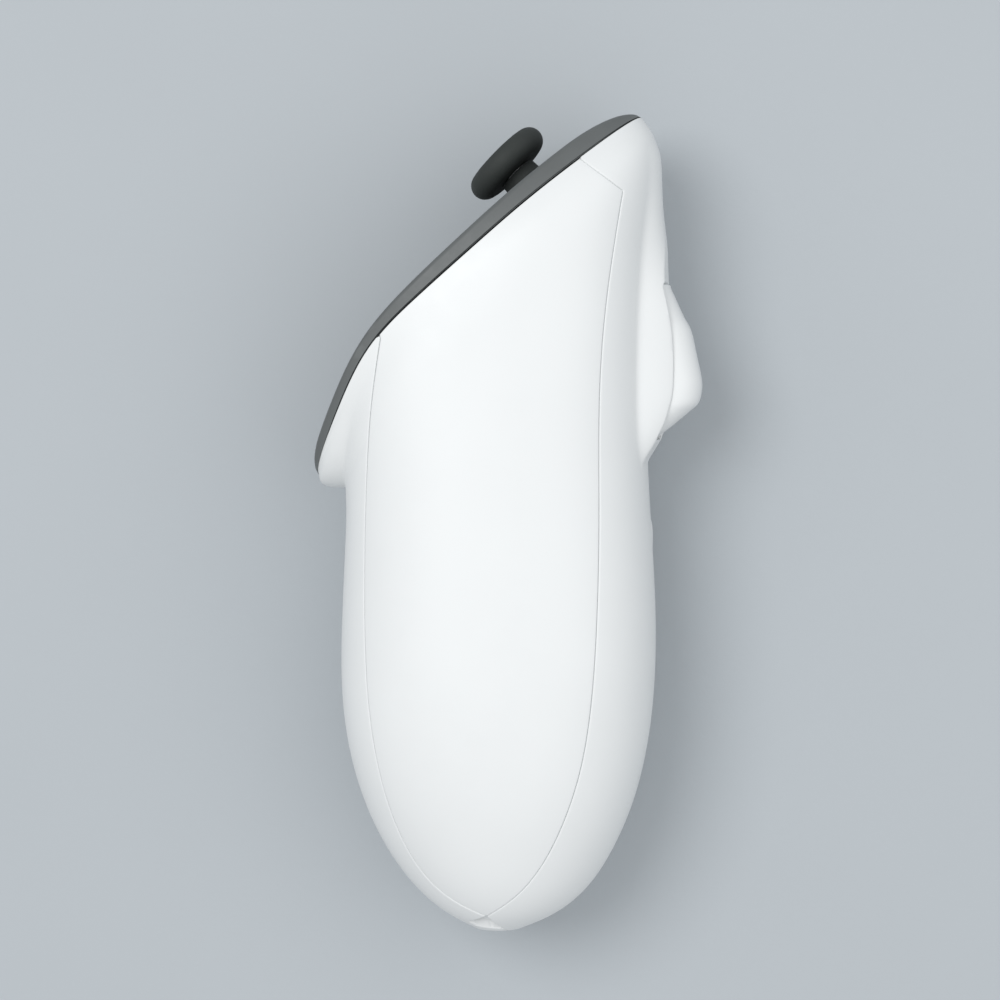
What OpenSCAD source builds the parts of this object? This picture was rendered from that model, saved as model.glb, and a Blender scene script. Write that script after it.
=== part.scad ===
// Motion controller wand lying on its far side: a moulded grip under a slanted control plate,
// with a thumbstick, four buttons, a trigger, a grip key and two cells behind a lift-off palm cover.
// Millimetres. x points to the front of the grip, y to its top, z up from the surface it lies on.

/* [Body] */
// from the bottom of the grip to the front tip of the control plate
body_length = 125.7; // [124:0.5:136]
// front to back reach of the grip
body_depth = 48.8; // [48:0.2:54]
// side to side width of the body
body_width = 38.4; // [38:0.2:44]
// wall of the moulded shells
wall = 2; // [1.6:0.1:2.2]
// gap round the palm cover
seam_gap = 0.2; // [0.15:0.05:0.3]
// points round one section of the moulded form
ring_points = 44; // [36:4:48]

/* [Control plate] */
// thickness of the plate near its front tip
plate_t = 2.9; // [2.6:0.1:3.4]
// rounding of the plate's upper edge
plate_round = 1; // [0.6:0.1:1.4]
// place of the thumbstick along the plate, 0 at the rear end and 1 at the front tip
stick_place = 0.739; // [0.73:0.001:0.745]
// slope of the boards and of the buttons' travel
deck_angle = 45.1; // [44:0.1:46]

/* [Thumbstick] */
// diameter of the rubber cap
cap_d = 14; // [12:0.5:16]
// thickness of the rubber cap
cap_t = 4; // [3.4:0.1:4.6]
// height of the cap's middle above the pivot
cap_reach = 13.6; // [13.2:0.1:14.4]
// depth of the pivot below the plate's seat
pivot_depth = 5.4; // [5.2:0.1:5.8]
// outer radius of the domed boot
boot_r = 8.4; // [8.2:0.1:8.6]
// radius of the opening in the plate
stick_hole_r = 6; // [5.8:0.1:6.2]
// radius of the stem inside the gimbal
stem_r = 0.9; // [0.7:0.05:1]
// half width of the gimbal housing
gimbal_half = 7.6; // [7.4:0.1:8]

/* [Buttons] */
// radius of the two face buttons
face_button_r = 4.2; // [3.6:0.1:4.4]
// spacing of the two face buttons across the plate
face_button_gap = 12.8; // [11.6:0.2:14]
// radius of the home button
home_button_r = 3; // [2.4:0.1:3.2]
// radius of the menu button
menu_button_r = 2.2; // [1.8:0.1:2.4]
// height of a button above the plate
button_rise = 0.9; // [0.6:0.1:1.1]
// clearance round a button in its hole
button_gap = 0.15; // [0.1:0.05:0.25]
// travel of a plate button
button_travel = 0.6; // [0.4:0.05:0.7]

/* [Trigger and grip key] */
// width of the trigger
trigger_w = 10.4; // [9.6:0.2:11]
// side clearance of the trigger in its slot
trigger_gap = 0.3; // [0.2:0.05:0.4]
// rounding of the trigger's side edges
trigger_round = 2.4; // [1.5:0.1:3]
// radius of the trigger pin
trigger_pin_r = 1; // [0.8:0.05:1.2]
// length of the grip key
grip_key_l = 22; // [18:0.5:24]
// width of the grip key
grip_key_w = 8; // [7:0.2:8.6]
// travel of the grip key
grip_travel = 1.2; // [0.8:0.1:1.3]

/* [Battery bay] */
// radius of one cell
cell_r = 7.1; // [6.9:0.05:7.15]
// length of one cell without its button
cell_l = 49.5; // [48.5:0.1:49.8]
// distance between the two cells' axes
cell_pitch = 15.4; // [15.2:0.1:15.8]
// length of a compressed contact spring
spring_l = 3; // [2.6:0.1:3.2]
// wall of the battery tray
tray_wall = 0.95; // [0.8:0.05:1.1]

/* [Strap eyelet] */
// radius of the bore for the wrist strap
strap_r = 1; // [0.8:0.05:1.1]
// wall of the eyelet
strap_wall = 0.5; // [0.4:0.05:0.6]
// length of the eyelet
strap_l = 9; // [7:0.5:9.5]

/* [Boards and screws] */
// thickness of the main board
board_t = 1.2; // [0.8:0.1:1.6]
// thickness of the small boards
thin_board_t = 0.8; // [0.6:0.1:1]
// height of a tact switch
switch_h = 1; // [0.8:0.05:1.1]
// radius of a screw's shank
screw_r = 0.95; // [0.8:0.05:1]
// radius of a screw's head
screw_head_r = 1.8; // [1.5:0.1:2]
// height of a screw's head
screw_head_h = 1.2; // [0.9:0.1:1.4]

/* [Hidden] */
$fn = 48;
tiny = 0.05;
zc = body_width / 2;
kx = body_depth / 48.8;
ky = body_length / 125.7;
kw = body_width / 38.4;
// puts the middle of the whole outline at the origin
centre_x = 0.126 * kx;
centre_y = 0.158 * ky;

slot_half = trigger_w / 2 + trigger_gap;

// moulded form: each row is one slice from the plate's seat down to the bottom of the grip, as
// rear x, rear y, front x, front y, half width, squareness, crown, cheek reach, cheek half width,
// lip reach, and the share of the trigger slot's width over which the cheeks' front is flat;
// a reach below zero sinks the cheek or the lip into the grip
form_rows = [
  [-29.7,   7.4, 20.4,  62.3, 18.5, 2.0, 6.1,  -5.0, 12.0,  0.0, 0],
  [-25.2,  10.1, 23.2,  58.8, 19.0, 2.3, 5.9,   0.3, 12.0,  6.3, 0],
  [-25.1,   6.7, 22.9,  52.6, 19.2, 2.5, 5.0,   0.7, 10.5,  2.1, 0],
  [-25.1,   4.0, 21.9,  45.0, 19.2, 2.5, 3.8,   3.0,  8.6, -1.9, 0],
  [-25.0,   1.2, 21.4,  36.8, 19.2, 2.5, 2.6,   3.1,  7.6, -6.0, 1],
  [-25.2,  -3.2, 21.2,  28.4, 19.2, 2.5, 1.5,   5.2,  7.4, -6.0, 1],
  [-25.5,  -8.0, 21.2,  19.8, 19.2, 2.4, 0.6,   5.7,  7.4, -6.0, 1],
  [-25.8, -14.0, 21.2,  11.2, 19.2, 2.4, 0.0,   4.2,  7.4, -6.0, 1],
  [-26.0, -20.5, 21.9,  -0.6, 19.2, 2.4, 0.0, -17.1,  7.2, -6.0, 1],
  [-25.9, -27.5, 22.9, -16.0, 19.2, 2.4, 0.0,  -5.0,  8.0, -6.0, 0],
  [-24.9, -35.3, 22.3, -30.4, 18.7, 2.3, 0.0,  -5.0,  8.0, -6.0, 0],
  [-22.9, -42.5, 20.0, -41.6, 17.4, 2.2, 0.0,  -5.0,  8.0, -6.0, 0],
  [-20.0, -49.2, 16.8, -49.5, 15.2, 2.1, 0.0,  -5.0,  8.0, -6.0, 0],
  [-15.8, -55.6, 12.8, -56.3, 12.2, 2.0, 0.0,  -5.0,  7.0, -6.0, 0],
  [-10.6, -60.4,  7.6, -60.7,  8.4, 2.0, 0.0,  -5.0,  5.0, -6.0, 0],
  [ -5.2, -63.0,  1.8, -63.0,  3.6, 2.0, 0.0,  -5.0,  2.0, -6.0, 0]
];
last_slice = len(form_rows) - 1;
slice_step = 0.5;
inner_end = 13.5;
cheek_square = 4;
cheek_blend = 0.8;
lip_share = 0.95;
lip_square = 2;
lip_blend = 0.5;
// height of a slice's crown at even places from its rear end to its front end
crown_profile = [0, 0.5, 1, 0.83, 0.635, 0.47, 0.22, 0];

// joins between the palm cover, the front shell and the far shell, seen from the near side
nose_join = [[12.4, 55], [18.7, 50.3]];
front_join = [
  [18.7, 50.3], [17.7, 44], [16.4, 35], [15.5, 25], [15.2, 14], [15.4, 0], [15.2, -12],
  [14.7, -23], [13.4, -34], [11, -42.5], [7.4, -50.5], [3, -56.4], [-2.5, -60.1]
];
rear_join = [
  [-2.5, -60.1], [-7.6, -57.8], [-12.2, -54], [-16.2, -46.5], [-19, -36], [-20.4, -24],
  [-20.7, -9], [-20.3, 6], [-19.2, 19], [-17.5, 28.3]
];
join_steps = 3;

// scales a point of the form to the body's sizes
function fit(p) = [p[0] * kx + centre_x, p[1] * ky + centre_y];

// one control value beyond either end keeps the spline on its first and last rows
function pick(rows, k) =
  k < 0 ? 2 * rows[0] - rows[1]
  : k >= len(rows) ? 2 * rows[len(rows) - 1] - rows[len(rows) - 2]
  : rows[k];

// cubic spline through a list of rows
function blend(rows, t) =
  let (i = min(max(floor(t), 0), len(rows) - 2), u = t - i)
  pick(rows, i - 1) * pow(1 - u, 3) / 6
  + pick(rows, i) * (3 * pow(u, 3) - 6 * u * u + 4) / 6
  + pick(rows, i + 1) * (-3 * pow(u, 3) + 3 * u * u + 3 * u + 1) / 6
  + pick(rows, i + 2) * pow(u, 3) / 6;

// value of a profile between its rear end 0 and front end 1
function along(profile, s) = blend(profile, min(max(s, 0), 1) * (len(profile) - 1));

// one slice: its rear end, front end, half length, direction and upward normal
function slice_rear(r) = fit([r[0], r[1]]);
function slice_front(r) = fit([r[2], r[3]]);
function slice_half(r) = norm(slice_front(r) - slice_rear(r)) / 2;
function slice_dir(r) = (slice_front(r) - slice_rear(r)) / (2 * slice_half(r));
function slice_up(r) = let (d = slice_dir(r)) [-d[1], d[0]];
function slice_mid(r) = (slice_front(r) + slice_rear(r)) / 2;

// polar radius of a rounded slice with half length a, half width b and squareness n
function oval(a, b, n, ang) =
  pow(pow(abs(cos(ang)) / a, n) + pow(abs(sin(ang)) / b, n), -1 / n);

// grip section joined to the trigger cheeks in front of it and to the plate's lip behind it
function joined(a, b, k) = let (q = max(k - abs(a - b), 0)) max(a, b) + q * q / (4 * k);
function cheek_radius(r, ang) =
  let (
    a = max(slice_half(r) + r[7], 1),
    share = min(r[10] * slot_half / r[8], 0.99),
    flat_x = a * pow(1 - pow(share, cheek_square), 1 / cheek_square)
  )
  min(oval(a, r[8], cheek_square, ang), flat_x / cos(ang));
function lip_radius(r, ang) =
  oval(max(slice_half(r) + r[9], 1), lip_share * r[4] * kw, lip_square, ang);
function slice_radius(r, ang) =
  let (grip = oval(slice_half(r), r[4] * kw, r[5], ang))
  cos(ang) > 0 ? joined(grip, cheek_radius(r, ang), cheek_blend)
  : joined(grip, lip_radius(r, ang), lip_blend);

function form_point(r, ang, inset) =
  let (
    rear = slice_half(r) + max(r[9], 0),
    rad = slice_radius(r, ang) - inset,
    x = rad * cos(ang),
    s = (x + rear) / (slice_half(r) + rear),
    p = slice_mid(r) + x * slice_dir(r) + r[6] * along(crown_profile, s) * slice_up(r)
  )
  [p[0], p[1], zc + rad * sin(ang)];

// angle of a ring's point, with the points gathered at the front where the cheeks are
function ring_angle(j) =
  let (a = 360 * j / ring_points)
  a - 25.8 * sin(a) - 8.6 * sin(2 * a);
function form_ring(t, inset) =
  let (r = blend(form_rows, t))
  [for (j = [0:ring_points - 1]) form_point(r, ring_angle(j), inset)];

function flat(lists) = [for (l = lists) for (p = l) p];
function middle(points) = [for (p = points) 1] * points / len(points);

// half width of the body at a point of the grip, found by halving the run of slices
function slice_above(t, p) =
  let (r = blend(form_rows, t))
  (p - slice_mid(r)) * slice_up(r);
function slice_at(p, low, high, n) =
  n == 0 ? (low + high) / 2
  : let (m = (low + high) / 2)
    slice_above(m, p) > 0 ? slice_at(p, low, m, n - 1) : slice_at(p, m, high, n - 1);
function side_w(p) =
  let (
    r = blend(form_rows, slice_at(p, 0, last_slice, 16)),
    u = abs((p - slice_mid(r)) * slice_dir(r)) / slice_half(r)
  )
  r[4] * kw * pow(max(1 - pow(u, r[5]), 0), 1 / r[5]);

// seat of the control plate: the first slice, as a curve from rear to front
seat = form_rows[0];
function deck_point(s) =
  slice_rear(seat) + (slice_front(seat) - slice_rear(seat)) * s
  + seat[6] * along(crown_profile, s) * slice_up(seat);
deck_origin = deck_point(stick_place);
deck_dir = [cos(deck_angle), sin(deck_angle)];
deck_up = [-sin(deck_angle), cos(deck_angle)];
function seat_s(x) = stick_place + x / (2 * slice_half(seat));
function seat_z(x) = (deck_point(seat_s(x)) - deck_origin) * deck_up;

// thickness of the plate: its profile from rear to front, thinned to an edge at both ends
plate_profile = [0.54, 0.54, 0.52, 0.78, 0.87, 0.93, 1, 1];
plate_rear_fade = 0.07;
plate_front_fade = 0.15;
plate_edge = 0.12;
plate_side = 0.15;
function fade(q) = plate_edge + (1 - plate_edge) * sqrt(max(1 - q * q, 0));
function plate_height(s) =
  along(plate_profile, s)
  * fade(max(1 - max(s, 0) / plate_rear_fade, 0))
  * fade(max((min(s, 1) - 1) / plate_front_fade + 1, 0));
function plate_top(x) = seat_z(x) + plate_t * plate_height(seat_s(x));
function plate_point(ang, inset, h) =
  let (
    a = slice_half(seat),
    rad = slice_radius(seat, ang) - inset,
    x = rad * cos(ang),
    s = (x + a) / (2 * a),
    up = seat[6] * along(crown_profile, s) + tiny + h * plate_height(s),
    p = slice_mid(seat) + x * slice_dir(seat) + up * slice_up(seat)
  )
  [p[0], p[1], zc + rad * sin(ang)];

// thumbstick frame
pivot = deck_origin - pivot_depth * deck_up;
gimbal_wall = 0.8;
gimbal_top = 1;
gimbal_floor = -4.6;
gimbal_pin_r = 0.8;
pin_gap = 0.05;
dish_height = 2.7;
dish_r = 9.8;
press_travel = 0.35;
boot_t = 0.6;
boot_span = 62;
collar_foot_r = 3.6;
collar_top_r = 3.1;
stem_upper_r = 1.9;
stem_foot = -1.85;
core_r = 1.35;
trunnion_r = 0.6;
carrier_half = [3, 2.1, 1.2];
arch_r = 3;
arch_t = 0.6;
arch_half = 1.7;
sensor_t = 2.6;
sensor_half = 3.8;

// boards under the plate, as heights in the deck frame
main_top = gimbal_floor - pivot_depth;
key_top = -3.4;
key_front = -9.4;
key_rear = -34.5;
key_half = 10.4;
main_rear = -26;
main_outline = [
  [main_rear, -12], [-21.5, -14.6], [0.4, -13.9], [8, -8.6],
  [8, 8.6], [0.4, 13.9], [-21.5, 14.6], [main_rear, 12]
];
main_posts = [[-22.5, -12.4], [-22.5, 12.4], [-1, -12], [-1, 12]];
key_posts = [[-11.4, 0], [-31.2, -8], [-31.2, 8]];
post_r = 1.7;
post_bore_l = 5;
pilot_r = screw_r + tiny;
face_button_x = -18.6;
small_button_x = -27.4;
home_button_y = -3.6;
menu_button_y = 4.4;
lens_x = -31.6;
lens_r = 0.9;
switch_half = 1.7;
plunger_r = 1.2;

// trigger, in the form's own coordinates: front line from the top down, then back up inside
trigger_front = [
  [23.6, 38], [25, 36], [26.9, 31.9], [28.1, 29.6], [29.1, 25.2], [29.8, 22.2], [29.8, 20.4],
  [29.2, 18.5], [27.6, 17], [25.2, 15], [22.8, 13.2]
];
trigger_back = [[21.4, 16], [22.6, 20.5], [22.8, 26], [20.6, 31], [18.6, 34]];
trigger_pivot = fit([18.8, 35.8]);
trigger_boss_r = 2.5;
trigger_travel = 13;
field_sensor_h = 1.2;
arm_clear = 1.8;
arm_along = 2;
arm_drop = main_top - board_t - field_sensor_h - arm_clear;
trigger_arm = deck_origin + arm_along * deck_dir + arm_drop * deck_up;
arm_half = 2.2;
arm_thick = 1.4;
arm_past = 1.3;
magnet_r = 0.9;
spring_r = 1.8;
spring_rise = 2.8;
spring_wire_r = 0.3;
spring_low = trigger_w / 2 - spring_rise - spring_wire_r;
slot_low = 12.6;
slot_high = 38.4;
rib_t = 1.3;
rib_half = slot_half + tiny;

// grip key on the far side of the front shell
grip_slice = 8.5;
grip_turn = 25;
grip_press_angle = 30;
grip_point = form_point(blend(form_rows, grip_slice), -grip_turn, 0);
grip_proud = 0.6;
grip_crown_r = 17;
grip_flange = 1;
grip_flange_top = -3.5;
grip_flange_t = 0.8;
grip_gap = 0.25;
grip_below = 3;
grip_above = 6;
grip_foot = grip_flange_top - grip_flange_t - 0.8;
grip_board_top = grip_foot - grip_travel - 0.15 - switch_h;

// battery bay
bay_x = fit([-2, 0])[0];
bay_top = fit([0, 14])[1];
contact_t = 0.5;
cell_button_r = 2.7;
cell_button_h = 1;
bay_l = cell_l + cell_button_h + spring_l + 2 * contact_t;
bay_end_t = 1.6;
bay_r = cell_r + 0.35;
tray_r = bay_r + tray_wall;
tray_rim = 1.8;
tray_floor = -tray_r - 1;
tray_ear_t = 1.8;
ear_r = 3;
boss_r = 2.4;
tray_ears = [
  [bay_x - cell_pitch / 2, bay_top + bay_end_t + ear_r],
  [bay_x + cell_pitch / 2, bay_top + bay_end_t + ear_r],
  [bay_x, bay_top - bay_l - bay_end_t - ear_r]
];
tray_screw_l = 6;
motor_r = 4;
motor_h = 3;
motor_at = fit([-2, 20.5]);

// wrist strap eyelet across the bottom of the grip, and the opening notch at the cover's tip
strap_at = fit([-1.6, -60.4]);
strap_drop = 3.2;
notch = [[-2.5, -60], [-5.7, -61.4], [-4.6, -62.2], [-0.5, -62.5]];
notch_floor = -0.4;

// frames: the mid plane, the deck under the plate, the gimbal's pivot and the grip key
module mid() {
  translate([0, 0, zc]) children();
}
module deck() {
  translate([deck_origin[0], deck_origin[1], zc]) rotate([0, 0, deck_angle]) rotate([-90, 0, 0]) children();
}
module gimbal() {
  deck() translate([0, 0, -pivot_depth]) children();
}
module grip_frame() {
  translate(grip_point) rotate([0, grip_press_angle, 0]) children();
}
module along_x(l, r) {
  rotate([0, 90, 0]) cylinder(h = l, r = r, center = true);
}
module along_y(l, r) {
  rotate([90, 0, 0]) cylinder(h = l, r = r, center = true);
}
module block(low, high) {
  translate(low) cube(high - low);
}

// triangles between two rings of points that start at a and b
function band(a, b, n) = flat([
  for (j = [0:n - 1])
    let (k = (j + 1) % n)
    [[a + j, b + j, a + k], [a + k, b + j, b + k]]
]);
function fan(a, pole, n) = [for (j = [0:n - 1]) [a + j, pole, a + (j + 1) % n]];
function turned(faces) = [for (f = faces) [f[0], f[2], f[1]]];

// hollow moulded form, open at the plate's seat
module hollow_form(start) {
  n = ring_points;
  outer_t = [start, for (t = [slice_step:slice_step:last_slice]) t];
  inner_t = [start, for (t = [slice_step:slice_step:inner_end]) t];
  outer = [for (t = outer_t) form_ring(t, 0)];
  inner = [for (t = inner_t) form_ring(t, wall)];
  outer_n = len(outer) * n;
  inner_n = len(inner) * n;
  points = concat(
    flat(outer), [middle(outer[len(outer) - 1])],
    flat(inner), [middle(inner[len(inner) - 1])]
  );
  base = outer_n + 1;
  outer_faces = flat([for (i = [0:len(outer) - 2]) band(i * n, (i + 1) * n, n)]);
  inner_faces = flat([for (i = [0:len(inner) - 2]) band(base + i * n, base + (i + 1) * n, n)]);
  polyhedron(points, concat(
    outer_faces, fan(outer_n - n, outer_n, n),
    turned(inner_faces), turned(fan(base + inner_n - n, base + inner_n, n)),
    turned(band(0, base, n))
  ));
}

// a join line as a smooth run of points between two of its rows, moved by a shift
function join_line(rows, first, last, shift) = [
  for (i = [first * join_steps:last * join_steps]) fit(blend(rows, i / join_steps)) + shift
];
front_low = [0.4, -63.4];
front_last = len(front_join) - 1;
rear_last = len(rear_join) - 1;
reach_out = 30;
function outward(p) = fit(p) + reach_out * deck_up;

// outline of the palm cover, drawn in by a gap
module palm_outline(gap) {
  polygon(concat(
    [outward(nose_join[0]), fit(nose_join[0]) - [gap, gap]],
    join_line(front_join, 0, front_last - 1, [-gap, 0]),
    [fit(rear_join[0]) + [0, gap]],
    join_line(rear_join, 1, rear_last, [gap, 0]),
    [outward(rear_join[rear_last])]
  ));
}

// everything in front of the front join
module front_outline() {
  low = fit(front_low);
  polygon(concat(
    [outward(nose_join[0]), fit(nose_join[0])],
    join_line(front_join, 0, front_last, [0, 0]),
    [low, low - [0, reach_out], low + [2 * reach_out, -reach_out], fit([60, 90])]
  ));
}
module front_block() {
  translate([0, 0, -body_width]) linear_extrude(3 * body_width) front_outline();
}
module palm_block(gap) {
  mid() linear_extrude(body_width) palm_outline(gap);
}
module strap_frame() {
  translate([strap_at[0], strap_at[1], zc - strap_drop]) children();
}
module strap_hole() {
  strap_frame() along_x(body_depth, strap_r + strap_wall);
}

module palm_cover() {
  color("white")
    intersection() {
      hollow_form(0.09);
      palm_block(seam_gap);
    }
}

module trigger_slot() {
  low = fit([13, slot_low]);
  high = fit([45, slot_high]);
  block([low[0], low[1], zc - slot_half], [high[0], high[1], zc + slot_half]);
}

// ribs inside the front shell that carry the trigger pin
module pin_ribs() {
  low = fit([15.6, 33.4]);
  high = fit([20.1, 39.6]);
  for (side = [0, 1])
    mid() mirror([0, 0, side])
      block([low[0], low[1], rib_half], [high[0], high[1], rib_half + rib_t]);
}

module stadium(l, w) {
  translate([0, -(l - w) / 2]) circle(d = w);
  translate([0, (l - w) / 2]) circle(d = w);
  square([w, l - w], center = true);
}
// the grip key's outline drawn along its travel
module grip_prism(grow, low, high) {
  translate([low, 0, 0]) rotate([0, 90, 0]) linear_extrude(high - low)
    stadium(grip_key_l + 2 * grow, grip_key_w + 2 * grow);
}
module grip_opening() {
  grip_frame() grip_prism(grip_gap, grip_flange_top - grip_below, grip_above);
}

module front_shell() {
  color("whitesmoke")
    difference() {
      union() {
        difference() {
          intersection() {
            hollow_form(0);
            front_block();
          }
          trigger_slot();
        }
        pin_ribs();
      }
      mid() translate(trigger_pivot)
        cylinder(h = 2 * (rib_half + rib_t + tiny), r = trigger_pin_r + tiny / 2, center = true);
      grip_opening();
      strap_hole();
    }
}

module far_shell() {
  color("whitesmoke")
    difference() {
      union() {
        difference() {
          hollow_form(0);
          front_block();
          palm_block(0);
        }
        for (p = tray_ears) {
          foot = -side_w(p) + 0.6 * wall;
          mid() translate([p[0], p[1], foot]) cylinder(h = tray_floor - foot, r = boss_r);
        }
      }
      for (p = tray_ears)
        mid() translate([p[0], p[1], tray_floor - tray_screw_l])
          cylinder(h = tray_screw_l + tiny, r = pilot_r);
      grip_opening();
      strap_hole();
      mid() translate([0, 0, notch_floor]) linear_extrude(body_width)
        polygon([for (p = notch) fit(p)]);
    }
}

// solid of the control plate before its openings
module plate_blank() {
  n = ring_points;
  arc_steps = 3;
  layers = [
    [0, 0], [plate_side, plate_t - plate_round],
    for (i = [1:arc_steps])
      let (a = 90 * i / arc_steps)
      [plate_side + plate_round * (1 - cos(a)), plate_t - plate_round * (1 - sin(a))]
  ];
  rings = [for (l = layers) [for (j = [0:n - 1]) plate_point(ring_angle(j), l[0], l[1])]];
  top = (len(layers) - 1) * n;
  lid = flat([
    for (j = [0:n / 2 - 1])
      let (a = j, b = j + 1, c = n - j - 1, d = (n - j) % n)
      a == d ? [[a, b, c]] : b == c ? [[a, b, d]] : [[a, b, d], [b, c, d]]
  ]);
  sides = flat([for (i = [1:len(layers) - 1]) band(i * n, (i - 1) * n, n)]);
  polyhedron(flat(rings), concat(sides, turned(lid), [for (f = lid) f + [top, top, top]]));
}

// a round hole through the plate at a place on the deck
module plate_hole(x, y, r) {
  translate([x, y, seat_z(x) - 3]) cylinder(h = 10, r = r);
}
module post(p, foot) {
  translate([p[0], p[1], foot]) cylinder(h = seat_z(p[0]) + 0.6 - foot, r = post_r);
}
module post_bore(p, foot) {
  translate([p[0], p[1], foot - tiny]) cylinder(h = post_bore_l, r = pilot_r);
}

module face_plate() {
  color("dimgray")
    difference() {
      union() {
        plate_blank();
        deck() {
          for (p = main_posts) post(p, main_top);
          for (p = key_posts) post(p, key_top);
        }
      }
      deck() {
        for (p = main_posts) post_bore(p, main_top);
        for (p = key_posts) post_bore([p[0], p[1]], key_top - 2);
        cylinder(h = 20, r = stick_hole_r, center = true);
        translate([0, 0, dish_height]) cylinder(h = 4, r1 = dish_r, r2 = dish_r + 4);
        translate([0, 0, -pivot_depth]) sphere(r = boot_r + 0.3);
        for (side = [-1, 1])
          plate_hole(face_button_x, side * face_button_gap / 2, face_button_r + button_gap);
        plate_hole(small_button_x, home_button_y, home_button_r + button_gap);
        plate_hole(small_button_x, menu_button_y, menu_button_r + button_gap);
        plate_hole(lens_x, 0, lens_r + tiny);
      }
    }
}

// rubber cap with a dished top and rounded rim
module stick_cap() {
  r = cap_d / 2;
  rim = cap_t / 2;
  color([0.13, 0.14, 0.14])
    gimbal() translate([0, 0, cap_reach])
      difference() {
        rotate_extrude()
          union() {
            translate([r - rim, 0]) circle(r = rim);
            translate([0, -rim]) square([r - rim, 2 * rim]);
          }
        translate([0, 0, rim + 24.4]) sphere(r = 25, $fn = 96);
        translate([0, 0, -rim - 1]) cylinder(h = 1 + rim + 0.6, r = stem_upper_r + tiny);
      }
}

module stick_boot() {
  collar_low = boot_r - 0.9;
  collar_high = cap_reach - cap_t / 2 - 0.2;
  color([0.1, 0.1, 0.1])
    gimbal()
      difference() {
        union() {
          intersection() {
            sphere(r = boot_r);
            translate([0, 0, boot_r * cos(boot_span)]) cylinder(h = boot_r, r = boot_r);
          }
          translate([0, 0, collar_low])
            cylinder(h = collar_high - collar_low, r1 = collar_foot_r, r2 = collar_top_r);
        }
        sphere(r = boot_r - boot_t);
        cylinder(h = 20, r = stem_upper_r + tiny);
      }
}

module stick_stem() {
  shoulder = arch_r + arch_t + 0.6;
  color("silver")
    gimbal() {
      translate([0, 0, stem_foot]) cylinder(h = shoulder + 0.1 - stem_foot, r = stem_r);
      translate([0, 0, shoulder]) cylinder(h = cap_reach + 0.5 - shoulder, r = stem_upper_r);
    }
}

module stick_core() {
  color("dimgray")
    gimbal()
      difference() {
        union() {
          along_y(2 * (carrier_half[1] - 0.8), core_r);
          along_y(2 * (carrier_half[1] - tiny), trunnion_r);
        }
        cylinder(h = 10, r = stem_r + tiny, center = true);
      }
}

module stick_carrier() {
  slot_y = carrier_half[1] - 0.7;
  arm_end = gimbal_half + 1.3;
  color("gainsboro")
    gimbal()
      difference() {
        union() {
          cube(2 * carrier_half, center = true);
          translate([(arm_end - gimbal_half) / 2, 0, 0]) along_x(arm_end + gimbal_half - 0.1, gimbal_pin_r);
        }
        cube([3.8, 2 * slot_y, 4], center = true);
        along_y(10, trunnion_r + pin_gap);
      }
}

module stick_arch() {
  outer = arch_r + arch_t;
  arm_end = gimbal_half + 1.3;
  color("silver")
    gimbal()
      difference() {
        union() {
          intersection() {
            along_x(2 * arch_half, outer);
            translate([0, 0, outer / 2]) cube([10, 10, outer], center = true);
          }
          for (side = [-1, 1])
            translate([0, side * (arch_r + arch_t / 2), 0]) along_y(arch_t, arch_half);
          translate([0, (arm_end - gimbal_half) / 2, 0]) along_y(arm_end + gimbal_half - 0.1, gimbal_pin_r);
        }
        along_x(10, arch_r);
        translate([0, 0, outer]) cube([2 * (stem_r + 0.2), 4.4, 2 * outer - 3], center = true);
      }
}

module gimbal_housing() {
  inner = gimbal_half - gimbal_wall;
  color("lightslategray")
    gimbal()
      difference() {
        block([-gimbal_half, -gimbal_half, gimbal_floor], [gimbal_half, gimbal_half, gimbal_top]);
        block([-inner, -inner, gimbal_floor + gimbal_wall], [inner, inner, gimbal_top + 1]);
        along_x(4 * gimbal_half, gimbal_pin_r + pin_gap);
        along_y(4 * gimbal_half, gimbal_pin_r + pin_gap);
      }
}

// one angle sensor against a side wall of the gimbal housing
module tilt_sensor() {
  difference() {
    block([gimbal_half, -sensor_half, gimbal_floor], [gimbal_half + sensor_t, sensor_half, gimbal_top]);
    translate([gimbal_half, 0, 0]) along_x(2 * (sensor_t - 0.8), gimbal_pin_r + pin_gap);
  }
}
module tilt_sensor_a() {
  color("seagreen") gimbal() tilt_sensor();
}
module tilt_sensor_b() {
  color("seagreen") gimbal() rotate([0, 0, 90]) tilt_sensor();
}

// points of a coil along z that widens from r0 to r1
coil_steps = 14;
function coil_path(r0, r1, h, turns) = [
  for (i = [0:turns * coil_steps])
    let (q = i / (turns * coil_steps), a = 360 * turns * q, r = r0 + (r1 - r0) * q)
    [r * cos(a), r * sin(a), h * q]
];

// round wire along a path that stays close to planes across z
module bent_wire(path, r) {
  sides = 6;
  last = len(path) - 1;
  rings = [
    for (i = [0:last])
      let (d = path[min(i + 1, last)] - path[max(i - 1, 0)], side = [d[1], -d[0], 0] / norm([d[0], d[1]]))
      [for (j = [0:sides - 1])
        let (b = 360 * j / sides)
        path[i] + r * (cos(b) * side + [0, 0, sin(b)])]
  ];
  top = last * sides;
  polyhedron(flat(rings), concat(
    flat([for (i = [0:last - 1]) band((i + 1) * sides, i * sides, sides)]),
    [[for (j = [sides - 1:-1:0]) j]],
    [[for (j = [0:sides - 1]) top + j]]
  ));
}

module stick_spring() {
  wire_r = 0.18;
  low = gimbal_floor + gimbal_wall + wire_r;
  high = -carrier_half[2] - tiny - wire_r;
  color("silver")
    gimbal() translate([0, 0, low]) bent_wire(coil_path(2.45, 2.45, high - low, 3), wire_r);
}

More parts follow.
